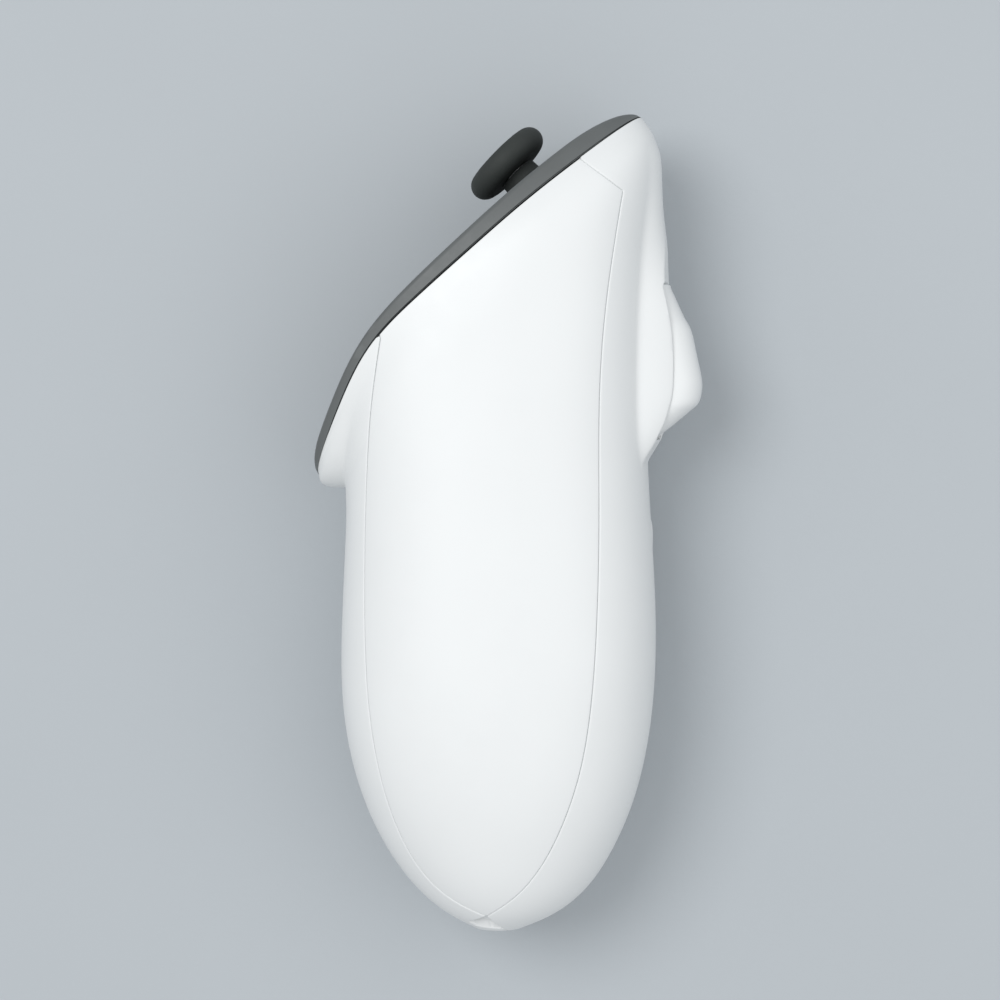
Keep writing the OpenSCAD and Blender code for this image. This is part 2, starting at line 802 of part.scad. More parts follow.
module press_switch() {
  low = gimbal_floor + gimbal_wall;
  color("black")
    gimbal() translate([0, 0, low]) {
      translate([-1.5, -1.5, 0]) cube([3, 3, switch_h]);
      cylinder(h = stem_foot - press_travel - 0.2 - low, r = 0.8);
    }
}

// a plate button: cap, retaining flange and plunger over its switch
module press_button(x, y, r) {
  foot = key_top + switch_h + button_travel + 0.1;
  flange_top = seat_z(x) - 0.7;
  flange_low = flange_top - 0.8;
  flange_r = r + 0.7;
  top = plate_top(x) + button_rise;
  edge = 0.5;
  deck() translate([x, y, 0])
    rotate_extrude()
      polygon([
        [0, foot], [plunger_r, foot], [plunger_r, flange_low], [flange_r, flange_low],
        [flange_r, flange_top], [r, flange_top], [r, top - edge], [r - edge, top], [0, top]
      ]);
}
module face_button_a() {
  color("gray") press_button(face_button_x, face_button_gap / 2, face_button_r);
}
module face_button_b() {
  color("gray") press_button(face_button_x, -face_button_gap / 2, face_button_r);
}
module home_button() {
  color("gray") press_button(small_button_x, home_button_y, home_button_r);
}
module menu_button() {
  color("gray") press_button(small_button_x, menu_button_y, menu_button_r);
}

module light_pipe() {
  foot = key_top + 0.8;
  color("aliceblue")
    deck() translate([lens_x, 0, foot]) cylinder(h = plate_top(lens_x) - 0.2 - foot, r = lens_r);
}

// trigger blade: one profile stacked across its width, with its front edges rounded
function trigger_profile(inset) = concat(
  [for (p = trigger_front) fit(p) - [inset, 0]],
  [for (p = trigger_back) fit(p)]
);
module trigger_blade() {
  half = trigger_w / 2;
  arc = [0, 30, 60, 90];
  edge = [for (a = arc) [half - trigger_round * (1 - sin(a)), trigger_round * (1 - cos(a)) / 1.6]];
  layers = concat([for (i = [len(arc) - 1:-1:0]) [-edge[i][0], edge[i][1]]], edge);
  profile_n = len(trigger_front) + len(trigger_back);
  rings = [for (l = layers) [for (p = trigger_profile(l[1])) [p[0], p[1], zc + l[0]]]];
  top = (len(layers) - 1) * profile_n;
  polyhedron(flat(rings), concat(
    flat([for (i = [0:len(layers) - 2]) band((i + 1) * profile_n, i * profile_n, profile_n)]),
    [[for (j = [profile_n - 1:-1:0]) j]],
    [[for (j = [0:profile_n - 1]) top + j]]
  ));
}

module trigger() {
  half = trigger_w / 2;
  arm = trigger_arm - trigger_pivot;
  color("whitesmoke")
    difference() {
      union() {
        trigger_blade();
        mid() translate(trigger_pivot) {
          cylinder(h = trigger_w - 0.2, r = trigger_boss_r, center = true);
          rotate([0, 0, atan2(arm[1], arm[0])])
            block([0, -arm_thick, -arm_half], [norm(arm) + arm_past, arm_thick, arm_half]);
        }
      }
      mid() translate(trigger_pivot) {
        cylinder(h = 2 * trigger_w, r = trigger_pin_r + pin_gap, center = true);
        translate([0, 0, spring_low - 0.5]) cylinder(h = half, r = trigger_boss_r + 0.2);
        block([spring_r - 0.5, -5.4, spring_low - 0.5], [spring_r + 0.5, 0, spring_low + 0.5]);
      }
      mid() translate(trigger_arm) cylinder(h = 3 * arm_half, r = magnet_r, center = true);
    }
}

module trigger_pin() {
  color("silver")
    mid() translate(trigger_pivot)
      cylinder(h = 2 * (rib_half + rib_t), r = trigger_pin_r, center = true);
}

// return spring round the trigger pin, with one leg on the blade and one on the shell's rib
module trigger_spring() {
  turns = 4;
  path = concat(
    [[spring_r, -5, 0], [spring_r, -2.5, 0]], coil_path(spring_r, spring_r, spring_rise, turns),
    [[spring_r, 1.5, spring_rise], [spring_r, 2.5, spring_rise]]
  );
  color("silver")
    mid() translate([trigger_pivot[0], trigger_pivot[1], spring_low]) bent_wire(path, spring_wire_r);
}

module trigger_magnet() {
  color("darkgray") mid() translate(trigger_arm) cylinder(h = 2 * arm_half, r = magnet_r, center = true);
}

// the trigger's field sensor on the underside of the main board
module trigger_sensor() {
  half = 1.4;
  top = main_top - board_t;
  color("black")
    deck() block([arm_along - half, -half, top - field_sensor_h], [arm_along + half, half, top]);
}

module grip_key() {
  inset_l = 0.5;
  color("whitesmoke")
    grip_frame() {
      intersection() {
        grip_prism(0, grip_flange_top - grip_flange_t, grip_above);
        translate([grip_proud - grip_crown_r, 0, 0]) along_y(2 * grip_key_l, grip_crown_r);
      }
      grip_prism(grip_flange - inset_l, grip_flange_top - grip_flange_t, grip_flange_top);
      translate([(grip_foot + grip_flange_top) / 2 - 0.2, 0, 0])
        along_x(grip_flange_top - grip_foot - 0.4, plunger_r);
    }
}
module grip_board() {
  color("darkgreen")
    grip_frame()
      block([grip_board_top - thin_board_t, -7, -3.6], [grip_board_top, 7, 3.6]);
}
module grip_switch() {
  color("black")
    grip_frame()
      block(
        [grip_board_top, -switch_half, -switch_half],
        [grip_board_top + switch_h, switch_half, switch_half]
      );
}

module main_board() {
  color("darkgreen")
    deck() translate([0, 0, main_top - board_t])
      difference() {
        linear_extrude(board_t) polygon(main_outline);
        for (p = main_posts) translate([p[0], p[1], -1]) cylinder(h = 4, r = pilot_r + 0.1);
      }
}
module board_shield() {
  color("silver")
    deck() block([-15, -6, main_top - board_t - 1.8], [-4, 6, main_top - board_t]);
}
module board_chips() {
  color("black")
    deck() {
      block([-18, -9, main_top], [-11, -2, main_top + 0.9]);
      block([-19, 2, main_top], [-15, 7, main_top + 1.1]);
      block([-13.4, 4, main_top], [-11, 8, main_top + 0.8]);
    }
}

module key_board() {
  corner = 3;
  color("darkgreen")
    deck() translate([0, 0, key_top - thin_board_t])
      difference() {
        linear_extrude(thin_board_t)
          polygon([
            [key_rear, -key_half + corner], [key_rear + corner, -key_half], [-12, -key_half],
            [key_front, -key_half + 2 * corner], [key_front, key_half - 2 * corner], [-12, key_half],
            [key_rear + corner, key_half], [key_rear, key_half - corner]
          ]);
        for (p = key_posts) translate([p[0], p[1], -1]) cylinder(h = 4, r = pilot_r + 0.1);
      }
}
module key_switches() {
  places = [
    [face_button_x, face_button_gap / 2], [face_button_x, -face_button_gap / 2],
    [small_button_x, home_button_y], [small_button_x, menu_button_y]
  ];
  color("black")
    deck()
      for (p = places)
        translate([p[0] - switch_half, p[1] - switch_half, key_top])
          cube([2 * switch_half, 2 * switch_half, switch_h]);
}

// flat ribbon from the rear of the key board round to the rear of the main board
module key_ribbon() {
  t = 0.3;
  low = key_top - thin_board_t;
  start = key_rear + 5;
  outer = [
    [start, low], [key_rear - 0.6, low], [key_rear - 1.8, low - 1.4],
    [main_rear - 5.5, main_top], [main_rear + 3.4, main_top]
  ];
  inner = [
    [start, low - t], [key_rear - 0.5, low - t], [key_rear - 1.45, low - 1.45],
    [main_rear - 5.4, main_top + t], [main_rear + 3.4, main_top + t]
  ];
  color("peru")
    deck() rotate([90, 0, 0]) translate([0, 0, -3]) linear_extrude(6)
      polygon(concat(outer, [for (i = [len(inner) - 1:-1:0]) inner[i]]));
}

module haptic_motor() {
  foot = -side_w(motor_at) + wall + 0.3;
  color("silver")
    mid() translate([motor_at[0], motor_at[1], foot]) cylinder(h = motor_h, r = motor_r);
}

// x of each cell's axis
function cell_x(side) = bay_x + side * cell_pitch / 2;
module bay_cylinder(side, low, high, r) {
  mid() translate([cell_x(side), (low + high) / 2, 0]) along_y(high - low, r);
}

module battery_tray() {
  low = bay_top - bay_l;
  color("dimgray")
    difference() {
      union() {
        for (side = [-1, 1]) bay_cylinder(side, low - bay_end_t, bay_top + bay_end_t, tray_r);
        mid()
          block(
            [cell_x(-1), low - bay_end_t, tray_floor],
            [cell_x(1), bay_top + bay_end_t, tray_floor + tray_ear_t + 1]
          );
        mid() for (p = tray_ears) {
          towards = p[1] > 0 ? -ear_r : 0;
          translate([p[0], p[1], tray_floor]) cylinder(h = tray_ear_t, r = ear_r);
          block(
            [p[0] - ear_r, p[1] + towards - (p[1] > 0 ? 1 : 0), tray_floor],
            [p[0] + ear_r, p[1] + towards + ear_r + (p[1] > 0 ? 0 : 1), tray_floor + tray_ear_t]
          );
        }
        grip_frame()
          block([grip_board_top - thin_board_t - 2.4, -5, -2], [grip_board_top - thin_board_t, 5, 2]);
      }
      for (side = [-1, 1]) bay_cylinder(side, low, bay_top, bay_r);
      mid() block([cell_x(-1) - 30, low - 20, tray_rim], [cell_x(1) + 30, bay_top + 20, 40]);
      mid() for (p = tray_ears)
        translate([p[0], p[1], tray_floor - 1]) cylinder(h = tray_ear_t + 2, r = pilot_r + 0.1);
    }
}

// one cell with its button at the end that turn points to
module cell(side, turn) {
  low = turn > 0 ? bay_top - bay_l + contact_t + spring_l : bay_top - bay_l + contact_t + cell_button_h;
  bay_cylinder(side, low, low + cell_l, cell_r);
  if (turn > 0)
    bay_cylinder(side, low + cell_l - tiny, low + cell_l + cell_button_h, cell_button_r);
  else
    bay_cylinder(side, low - cell_button_h, low + tiny, cell_button_r);
}
module cell_a() {
  color("goldenrod") cell(-1, 1);
}
module cell_b() {
  color("goldenrod") cell(1, -1);
}

module contact_plates() {
  half = 4.6;
  color("silver")
    mid() for (side = [-1, 1]) for (y = [bay_top - bay_l, bay_top - contact_t])
      block([cell_x(side) - half, y, -half], [cell_x(side) + half, y + contact_t, tray_rim - tiny]);
}
module contact_springs() {
  wire_r = 0.3;
  low = bay_top - bay_l + contact_t;
  path = coil_path(3.6, 2.4, spring_l - 2 * wire_r, 3);
  color("silver")
    mid() {
      translate([cell_x(-1), low + wire_r, 0]) rotate([-90, 0, 0]) bent_wire(path, wire_r);
      translate([cell_x(1), bay_top - contact_t - wire_r, 0]) rotate([90, 0, 0]) bent_wire(path, wire_r);
    }
}

module battery_leads() {
  r = 0.5;
  y0 = bay_top + bay_end_t;
  end = deck_origin + deck_dir * (-21) + deck_up * (main_top - board_t - r);
  color("firebrick")
    mid() for (side = [-1, 1])
      bent_wire([
        [cell_x(side), y0, -3], [cell_x(side), y0 + 3, -3],
        [end[0] + side * 2, end[1] + side * 2 - 3, side * 2 - 1], [end[0] + side, end[1] + side, side * 2]
      ], r);
}

module strap_eyelet() {
  color("silver")
    strap_frame()
      difference() {
        along_x(strap_l, strap_r + strap_wall);
        along_x(strap_l + 1, strap_r);
      }
}

module screw(l) {
  translate([0, 0, -l]) cylinder(h = l + tiny, r = screw_r);
  cylinder(h = screw_head_h, r = screw_head_r);
}
module tray_screws() {
  color("silver")
    mid() for (p = tray_ears)
      translate([p[0], p[1], tray_floor + tray_ear_t]) screw(tray_screw_l);
}
module board_screws() {
  color("silver")
    deck() {
      for (p = main_posts) translate([p[0], p[1], main_top - board_t]) rotate([180, 0, 0]) screw(4);
      for (p = key_posts) translate([p[0], p[1], key_top - thin_board_t]) rotate([180, 0, 0]) screw(3);
    }
}

palm_cover();
front_shell();
far_shell();
face_plate();
stick_cap();
stick_boot();
stick_stem();
stick_core();
stick_carrier();
stick_arch();
gimbal_housing();
tilt_sensor_a();
tilt_sensor_b();
stick_spring();
press_switch();
face_button_a();
face_button_b();
home_button();
menu_button();
light_pipe();
trigger();
trigger_pin();
trigger_spring();
trigger_magnet();
trigger_sensor();
grip_key();
grip_board();
grip_switch();
main_board();
board_shield();
board_chips();
key_board();
key_switches();
key_ribbon();
haptic_motor();
battery_tray();
cell_a();
cell_b();
contact_plates();
contact_springs();
battery_leads();
strap_eyelet();
tray_screws();
board_screws();
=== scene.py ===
"""Looks of a motion controller wand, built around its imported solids.

Shapes are worked out in millimetres in the frame of the solids, and stored in metres.
"""

import math

import bpy
import numpy as np
from mathutils import Matrix, Vector


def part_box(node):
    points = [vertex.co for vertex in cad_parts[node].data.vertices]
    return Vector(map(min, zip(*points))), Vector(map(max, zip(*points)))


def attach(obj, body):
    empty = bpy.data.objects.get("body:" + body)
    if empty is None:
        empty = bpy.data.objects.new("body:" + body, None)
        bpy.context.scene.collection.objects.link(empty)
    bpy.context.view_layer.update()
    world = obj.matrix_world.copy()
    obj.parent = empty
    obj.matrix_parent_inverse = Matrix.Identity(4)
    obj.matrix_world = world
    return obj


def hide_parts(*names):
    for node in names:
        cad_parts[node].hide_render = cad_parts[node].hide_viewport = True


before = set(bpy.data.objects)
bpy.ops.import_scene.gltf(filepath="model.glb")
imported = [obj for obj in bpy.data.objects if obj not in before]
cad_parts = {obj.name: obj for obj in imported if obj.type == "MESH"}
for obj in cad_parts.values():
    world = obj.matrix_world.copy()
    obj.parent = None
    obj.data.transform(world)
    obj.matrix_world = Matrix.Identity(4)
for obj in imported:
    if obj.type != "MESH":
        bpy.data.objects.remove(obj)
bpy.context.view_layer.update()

MM = 0.001
MID_Z = 19.2
CENTRE = np.array([0.126, 0.158])

# Moulded form, as in the part's source apart from the trigger cheeks, which are fuller here. Each row
# is one slice, from the plate's seat down to the bottom of the grip. Its columns are rear x and y,
# front x and y, half width, squareness, crown, cheek reach, cheek half width, lip reach, and the
# share of the slot where the cheeks are flat.
FORM_ROWS = np.array([
    [-29.7, 7.4, 20.4, 62.3, 18.5, 2.0, 6.1, -5.0, 12.0, 0.0, 0],
    [-25.2, 10.1, 23.2, 58.8, 19.0, 2.3, 5.9, 0.3, 12.0, 6.3, 0],
    [-25.1, 6.7, 22.9, 52.6, 19.2, 2.5, 5.0, 0.8, 11.0, 2.1, 0],
    [-25.1, 4.0, 21.9, 45.0, 19.2, 2.5, 3.8, 2.5, 10.0, -1.9, 0],
    [-25.0, 1.2, 21.4, 36.8, 19.2, 2.5, 2.6, 4.5, 9.3, -6.0, 1],
    [-25.2, -3.2, 21.2, 28.4, 19.2, 2.5, 1.5, 7.8, 8.9, -6.0, 1],
    [-25.5, -8.0, 21.2, 19.8, 19.2, 2.4, 0.6, 8.3, 8.6, -6.0, 1],
    [-25.8, -14.0, 21.2, 11.2, 19.2, 2.4, 0.0, 7.3, 8.2, -6.0, 1],
    [-26.0, -20.5, 21.9, -0.6, 19.2, 2.4, 0.0, -16.1, 7.6, -6.0, 1],
    [-25.9, -27.5, 22.9, -16.0, 19.2, 2.4, 0.0, -5.0, 8.0, -6.0, 0],
    [-24.9, -35.3, 22.3, -30.4, 18.7, 2.3, 0.0, -5.0, 8.0, -6.0, 0],
    [-22.9, -42.5, 20.0, -41.6, 17.4, 2.2, 0.0, -5.0, 8.0, -6.0, 0],
    [-20.0, -49.2, 16.8, -49.5, 15.2, 2.1, 0.0, -5.0, 8.0, -6.0, 0],
    [-15.8, -55.6, 12.8, -56.3, 12.2, 2.0, 0.0, -5.0, 7.0, -6.0, 0],
    [-10.6, -60.4, 7.6, -60.7, 8.4, 2.0, 0.0, -5.0, 5.0, -6.0, 0],
    [-5.2, -63.0, 1.8, -63.0, 3.6, 2.0, 0.0, -5.0, 2.0, -6.0, 0],
])
REAR, FRONT = slice(0, 2), slice(2, 4)
HALF_W, SQUARE, CROWN, CHEEK_REACH, CHEEK_HALF, LIP_REACH, CHEEK_FLAT = range(4, 11)
LAST_SLICE = len(FORM_ROWS) - 1
SLICES = 300
AROUND = 300
GATHER_ONCE = math.radians(25.8)
GATHER_TWICE = math.radians(8.6)
LEAST_REACH = 1
CHEEK_SQUARE = 3
CHEEK_BLEND = 0.8
LIP_SHARE = 0.95
LIP_SQUARE = 2
LIP_BLEND = 0.5
CROWN_PROFILE = np.array([0, 0.5, 1, 0.83, 0.635, 0.47, 0.22, 0])
WALL = 2.0
SINK_START = 10
SINK = 1.5

# Joins between the palm cover, the front shell and the far shell, seen from the near side.
NOSE_START = np.array([12.4, 55.0])
FRONT_JOIN = np.array([
    [18.7, 50.3], [17.7, 44], [16.4, 35], [15.5, 25], [15.2, 14], [15.4, 0], [15.2, -12],
    [14.7, -23], [13.4, -34], [11, -42.5], [7.4, -50.5], [3, -56.4], [-2.5, -60.1],
])
REAR_JOIN = np.array([
    [-2.5, -60.1], [-7.6, -57.8], [-12.2, -54], [-16.2, -46.5], [-19, -36], [-20.4, -24],
    [-20.7, -9], [-20.3, 6], [-19.2, 19], [-17.5, 28.3],
])
FRONT_LOW = np.array([0.4, -63.4])
JOIN_STEPS = 16
REACH_OUT = 30.0
FAR_CORNER = [60, 90]
SEAM_GAP = 0.09
SEAM_ROUND = 0.16
SEAM_LEVELS = [0, 0.02, 0.05, 0.1, SEAM_ROUND]
SEAT_GAP = 0.15
LIP_DEPTH = 0.5
LIP_GAP = 0.08
LIP_WIDTH = 1.2
LIP_STEP = 0.08
TONGUE_LOW, TONGUE_HIGH, TONGUE_DEEP = -1.0, 0.95, 1.3
TONGUE_START = 1.2

# Distances that stand for a place well inside or well outside a cut.
INSIDE, OUTSIDE = 50.0, -50.0
PALM_FAR_SIDE = -5.0
POLE_FROM_SEAT = 200.0

# Control plate, the thumbstick's frame on it and the screw posts under it.
PLATE_T = 2.9
PLATE_ROUND = 1.0
PLATE_SIDE = 0.15
PLATE_GAP = 0.05
PLATE_FOOT = [(0.4, 0.0), (0.4, 0.18), (0.1, 0.2), (0.04, 0.26)]
PLATE_RINGS = 90
PLATE_PROFILE = np.array([0.54, 0.54, 0.52, 0.78, 0.87, 0.93, 1, 1])
PLATE_REAR_FADE = 0.07
PLATE_FRONT_FADE = 0.15
PLATE_EDGE = 0.12
STICK_PLACE = 0.739
DECK_ANGLE = math.radians(45.1)
PIVOT_DEPTH = 5.4
DISH_HEIGHT = 2.7
DISH_R = 9.8
DISH_BLEND = 0.35
STICK_HOLE_R = 6.0
HOLE_EASE = 0.3
HOLE_LEVELS = [0, 0.03, 0.08, 0.16, HOLE_EASE]
MAIN_BOARD_TOP = -10.0
MAIN_POSTS = [(-22.5, -12.4), (-22.5, 12.4), (-1, -12), (-1, 12)]
KEY_BOARD_TOP = -3.4
KEY_POSTS = [(-11.4, 0), (-31.2, -8), (-31.2, 8)]

# Thumbstick.
BOOT_R = 8.4
BOOT_ROOM = 0.3
CAP_R = 7.0
CAP_T = 4.0
CAP_REACH = 13.6
STEM_R = 1.9
STEM_HOLE_R = STEM_R + 0.05

# Keys as body, place on the deck and radius, and the light pipe as place and radius.
KEYS = {
    "face_button_a": ("key_a", (-18.6, 6.4, 4.2)),
    "face_button_b": ("key_b", (-18.6, -6.4, 4.2)),
    "home_button": ("key_home", (-27.4, -3.6, 3.0)),
    "menu_button": ("key_menu", (-27.4, 4.4, 2.2)),
}
KEY_GAP = 0.15
KEY_RISE = 0.9
LENS = (-31.6, 0.0, 0.9)
LENS_GAP = 0.05

# Trigger, grip key and strap eyelet.
TRIGGER_FRONT = np.array([
    [20.8, 36.65], [24.5, 36.65], [25.1, 35.8], [26.9, 31.9], [28.1, 29.6], [29.1, 25.2],
    [29.72, 22.2], [29.72, 20.4], [29.2, 18.5], [27.6, 17], [25.2, 15], [22.8, 13.2],
])
TRIGGER_BACK = np.array([[21.4, 16], [22.6, 20.5], [22.8, 26], [20.6, 31], [18.6, 34]])
TRIGGER_PIVOT = np.array([18.8, 35.8]) + CENTRE
TRIGGER_BOSS_R = 2.5
TRIGGER_ARM = (2.0, -14.2)
TRIGGER_HALF = 4.8
TRIGGER_ROUND = 4.0
TRIGGER_CROWN = 4.2
SLOT_LOW = 12.8
SLOT_HIGH = 36.95
SLOT_HALF = 5.1
SLOT_CORNER = 0.8
SLOT_FROM_X = 13
GRIP_SLICE = 8.5
GRIP_TURN = math.radians(25)
GRIP_TILT = math.radians(30)
GRIP_L = 22.0
GRIP_W = 8.0
GRIP_GAP = 0.25
GRIP_DEPTH = (-6.5, 6)
HOLDER_HALF = 2.2
STRAP_AT = np.array([-1.6, -60.4]) + CENTRE
STRAP_DROP = 3.2
STRAP_OUTER = 1.5
STRAP_HALF = 4.5
NOTCH = np.array([[-2.5, -60], [-5.7, -61.4], [-4.6, -62.2], [-0.5, -62.5]]) + CENTRE
NOTCH_FLOOR = -0.4
NOTCH_GROW = 1.12
NOTCH_T = 1.2

# Light and camera: places of the lamps in metres, of the camera in millimetres.
LAMP_UP = (0.1, 1, 0)
WORLD_COLOUR = (0.96, 0.98, 1.0)
WORLD_STRENGTH = 0.62
BACKDROP_COLOUR = (0.55, 0.59, 0.615)
BACKDROP_STRENGTH = 1.0
FLOOR_COLOUR = (0.465, 0.497, 0.522)
CAMERA_TARGET = (-1.3465, 3.6455, MID_Z)
CAMERA_FROM = (0.12, 0.03, 1.0)
CAMERA_DISTANCE = 480
CAMERA_FIELD = 155
CAMERA_SENSOR = 36


def spline(rows, t):
    """Cubic spline through rows, which stays on the first and last of them."""
    held = np.vstack([2 * rows[0] - rows[1], rows, 2 * rows[-1] - rows[-2]])
    t = np.asarray(t, float)
    i = np.clip(np.floor(t).astype(int), 0, len(rows) - 2)
    u = (t - i)[..., None]
    return (
        held[i] * (1 - u) ** 3
        + held[i + 1] * (3 * u**3 - 6 * u**2 + 4)
        + held[i + 2] * (-3 * u**3 + 3 * u**2 + 3 * u + 1)
        + held[i + 3] * u**3
    ) / 6


def profile_at(profile, s):
    """Value of a profile between its rear end 0 and front end 1."""
    place = np.clip(s, 0, 1) * (len(profile) - 1)
    return spline(profile[:, None], place)[..., 0]


def oval(a, b, n, angle):
    return ((np.abs(np.cos(angle)) / a) ** n + (np.abs(np.sin(angle)) / b) ** n) ** (-1 / n)


def slice_parts(row):
    """Middle, half length, direction and upward normal of slices."""
    rear, front = row[..., REAR] + CENTRE, row[..., FRONT] + CENTRE
    half = np.linalg.norm(front - rear, axis=-1) / 2
    along = (front - rear) / (2 * half[..., None])
    up = np.stack([-along[..., 1], along[..., 0]], axis=-1)
    return (rear + front) / 2, half, along, up


def joined(a, b, blend):
    """The larger of two radii, rounded where they meet."""
    q = np.maximum(blend - np.abs(a - b), 0)
    return np.maximum(a, b) + q * q / (4 * blend)


def slice_radius(row, half, angle):
    """Grip section joined to the trigger cheeks in front of it and to the plate's lip behind it."""
    most_flat, least_cosine = 0.99, 1e-3
    grip = oval(half, row[..., HALF_W], row[..., SQUARE], angle)
    reach, width = np.maximum(half + row[..., CHEEK_REACH], LEAST_REACH), row[..., CHEEK_HALF]
    share = np.clip(row[..., CHEEK_FLAT] * SLOT_HALF / width, 0, most_flat)
    flat_x = reach * (1 - share**CHEEK_SQUARE) ** (1 / CHEEK_SQUARE)
    cheek = oval(reach, width, CHEEK_SQUARE, angle)
    cheek = np.minimum(cheek, flat_x / np.maximum(np.cos(angle), least_cosine))
    lip_reach = np.maximum(half + row[..., LIP_REACH], LEAST_REACH)
    lip = oval(lip_reach, LIP_SHARE * row[..., HALF_W], LIP_SQUARE, angle)
    return np.where(np.cos(angle) > 0, joined(grip, cheek, CHEEK_BLEND), joined(grip, lip, LIP_BLEND))


def slice_points(row, radius, angle, lift=0.0):
    """Points of slices at polar places, raised by the crown and by lift along the slice's normal."""
    middle, half, along, up = slice_parts(row)
    x = radius * np.cos(angle)
    rear = half + np.maximum(row[..., LIP_REACH], 0)
    height = row[..., CROWN] * profile_at(CROWN_PROFILE, (x + rear) / (half + rear)) + lift
    flat = middle + x[..., None] * along + height[..., None] * up
    return np.concatenate([flat, (MID_Z + radius * np.sin(angle))[..., None]], axis=-1)


def form_points(t, angle, inset):
    row = spline(FORM_ROWS, t)[:, None, :]
    half = slice_parts(row)[1]
    return slice_points(row, slice_radius(row, half, angle) - inset, angle)


def ring_angles(count):
    """Angles round a section, gathered at the front where the cheeks are."""
    a = np.linspace(0, 2 * np.pi, count, endpoint=False)
    return a - GATHER_ONCE * np.sin(a) - GATHER_TWICE * np.sin(2 * a)


def grid_faces(rows, columns):
    """Quads of a grid that closes on itself along its columns."""
    i, j = np.meshgrid(np.arange(rows - 1), np.arange(columns), indexing="ij")
    k = (j + 1) % columns
    quads = np.stack([i * columns + j, (i + 1) * columns + j, (i + 1) * columns + k, i * columns + k], -1)
    return quads.reshape(-1, 4).tolist()


def fan_faces(start, columns, pole):
    return [[start + j, pole, start + (j + 1) % columns] for j in range(columns)]


def flipped(faces):
    return [f[::-1] for f in faces]


def point_normals(points, faces):
    """Normals of points, from the faces round them weighted by area."""
    normals = np.zeros_like(points)
    for size in (3, 4):
        f = np.array([x for x in faces if len(x) == size], int).reshape(-1, size)
        if len(f):
            a, b = points[f[:, 2]] - points[f[:, 0]], points[f[:, -1]] - points[f[:, 1]]
            across = np.cross(a, b)
            for k in range(size):
                np.add.at(normals, f[:, k], across)
    return normals / np.maximum(np.linalg.norm(normals, axis=1, keepdims=True), 1e-12)


def polygon_distance(points, outline):
    """Distance from points to a closed outline in the plane, positive inside it."""
    best = np.full(len(points), np.inf)
    inside = np.zeros(len(points), bool)
    for a, b in zip(outline, np.roll(outline, -1, axis=0)):
        edge, away = b - a, points - a
        length = max(edge @ edge, 1e-12)
        q = np.clip(away @ edge / length, 0, 1)
        best = np.minimum(best, np.linalg.norm(away - q[:, None] * edge, axis=1))
        crosses = (a[1] > points[:, 1]) != (b[1] > points[:, 1])
        if edge[1] != 0:
            at = a[0] + (points[:, 1] - a[1]) * edge[0] / edge[1]
            inside ^= crosses & (points[:, 0] < at)
    return np.where(inside, best, -best)


def box_distance(u, v, half_u, half_v, corner):
    """Distance to a rounded rectangle about the origin, positive outside it."""
    du, dv = np.abs(u) - half_u + corner, np.abs(v) - half_v + corner
    outside = np.hypot(np.maximum(du, 0), np.maximum(dv, 0))
    return outside + np.minimum(np.maximum(du, dv), 0) - corner


def cut(data, value, faces, levels):
    """Splits faces along the lines where value meets each level, and keeps what is above the first."""
    data, value = list(data), list(value)
    near = 0.006
    for level in levels:
        value = [level if abs(v - level) < near else v for v in value]
        made, split = {}, []
        for face in faces:
            here = [value[i] for i in face]
            if min(here) >= level:
                split.append(face)
                continue
            if max(here) <= level:
                if level > levels[0]:
                    split.append(face)
                continue
            above, below = [], []
            for a, b in zip(face, face[1:] + face[:1]):
                if value[a] >= level:
                    above.append(a)
                if value[a] <= level:
                    below.append(a)
                if (value[a] - level) * (value[b] - level) < 0:
                    key = (min(a, b), max(a, b))
                    if key not in made:
                        share = (level - value[a]) / (value[b] - value[a])
                        made[key] = len(data)
                        data.append(data[a] + share * (data[b] - data[a]))
                        value.append(level)
                    above.append(made[key])
                    below.append(made[key])
            if len(above) > 2:
                split.append(above)
            if len(below) > 2 and level > levels[0]:
                split.append(below)
        faces = split
    return np.array(data), np.array(value), faces


def compact(data, value, faces):
    """Drops the points that no face uses."""
    used = np.unique(np.concatenate([np.array(f) for f in faces]))
    place = np.full(len(data), -1)
    place[used] = np.arange(len(used))
    return data[used], value[used], [[int(place[i]) for i in f] for f in faces]


def round_drop(value, radius):
    """Depth of a rounded edge at a distance from it."""
    s = np.clip(radius - value, 0, radius)
    return radius - np.sqrt(np.maximum(radius * radius - s * s, 0))


def open_edges(faces):
    """Edges that belong to one face, in that face's direction."""
    seen = {}
    for f in faces:
        for a, b in zip(f, f[1:] + f[:1]):
            key = (min(a, b), max(a, b))
            seen[key] = None if key in seen else (a, b)
    return [e for e in seen.values() if e]


def close_shell(outer, inner, faces):
    """Points and faces of a wall between an outer and an inner surface with the same faces."""
    n = len(outer)
    rim = [[b, a, a + n, b + n] for a, b in open_edges(faces)]
    back = [[i + n for i in reversed(f)] for f in faces]
    return np.vstack([outer, inner]), faces + back + rim


def join_shapes(*shapes):
    """One list of points and faces from several."""
    points, faces, start = [], [], 0
    for p, f in shapes:
        points.append(np.asarray(p, float))
        faces += [[i + start for i in face] for face in f]
        start += len(p)
    return np.vstack(points), faces


def turned(profile, segments):
    """Points of (radius, height) pairs turned about z."""
    angle = np.linspace(0, 2 * np.pi, segments, endpoint=False)
    radius, height = profile[:, :1], profile[:, 1:]
    return np.stack([
        radius * np.cos(angle), radius * np.sin(angle), np.repeat(height, segments, 1),
    ], -1).reshape(-1, 3)


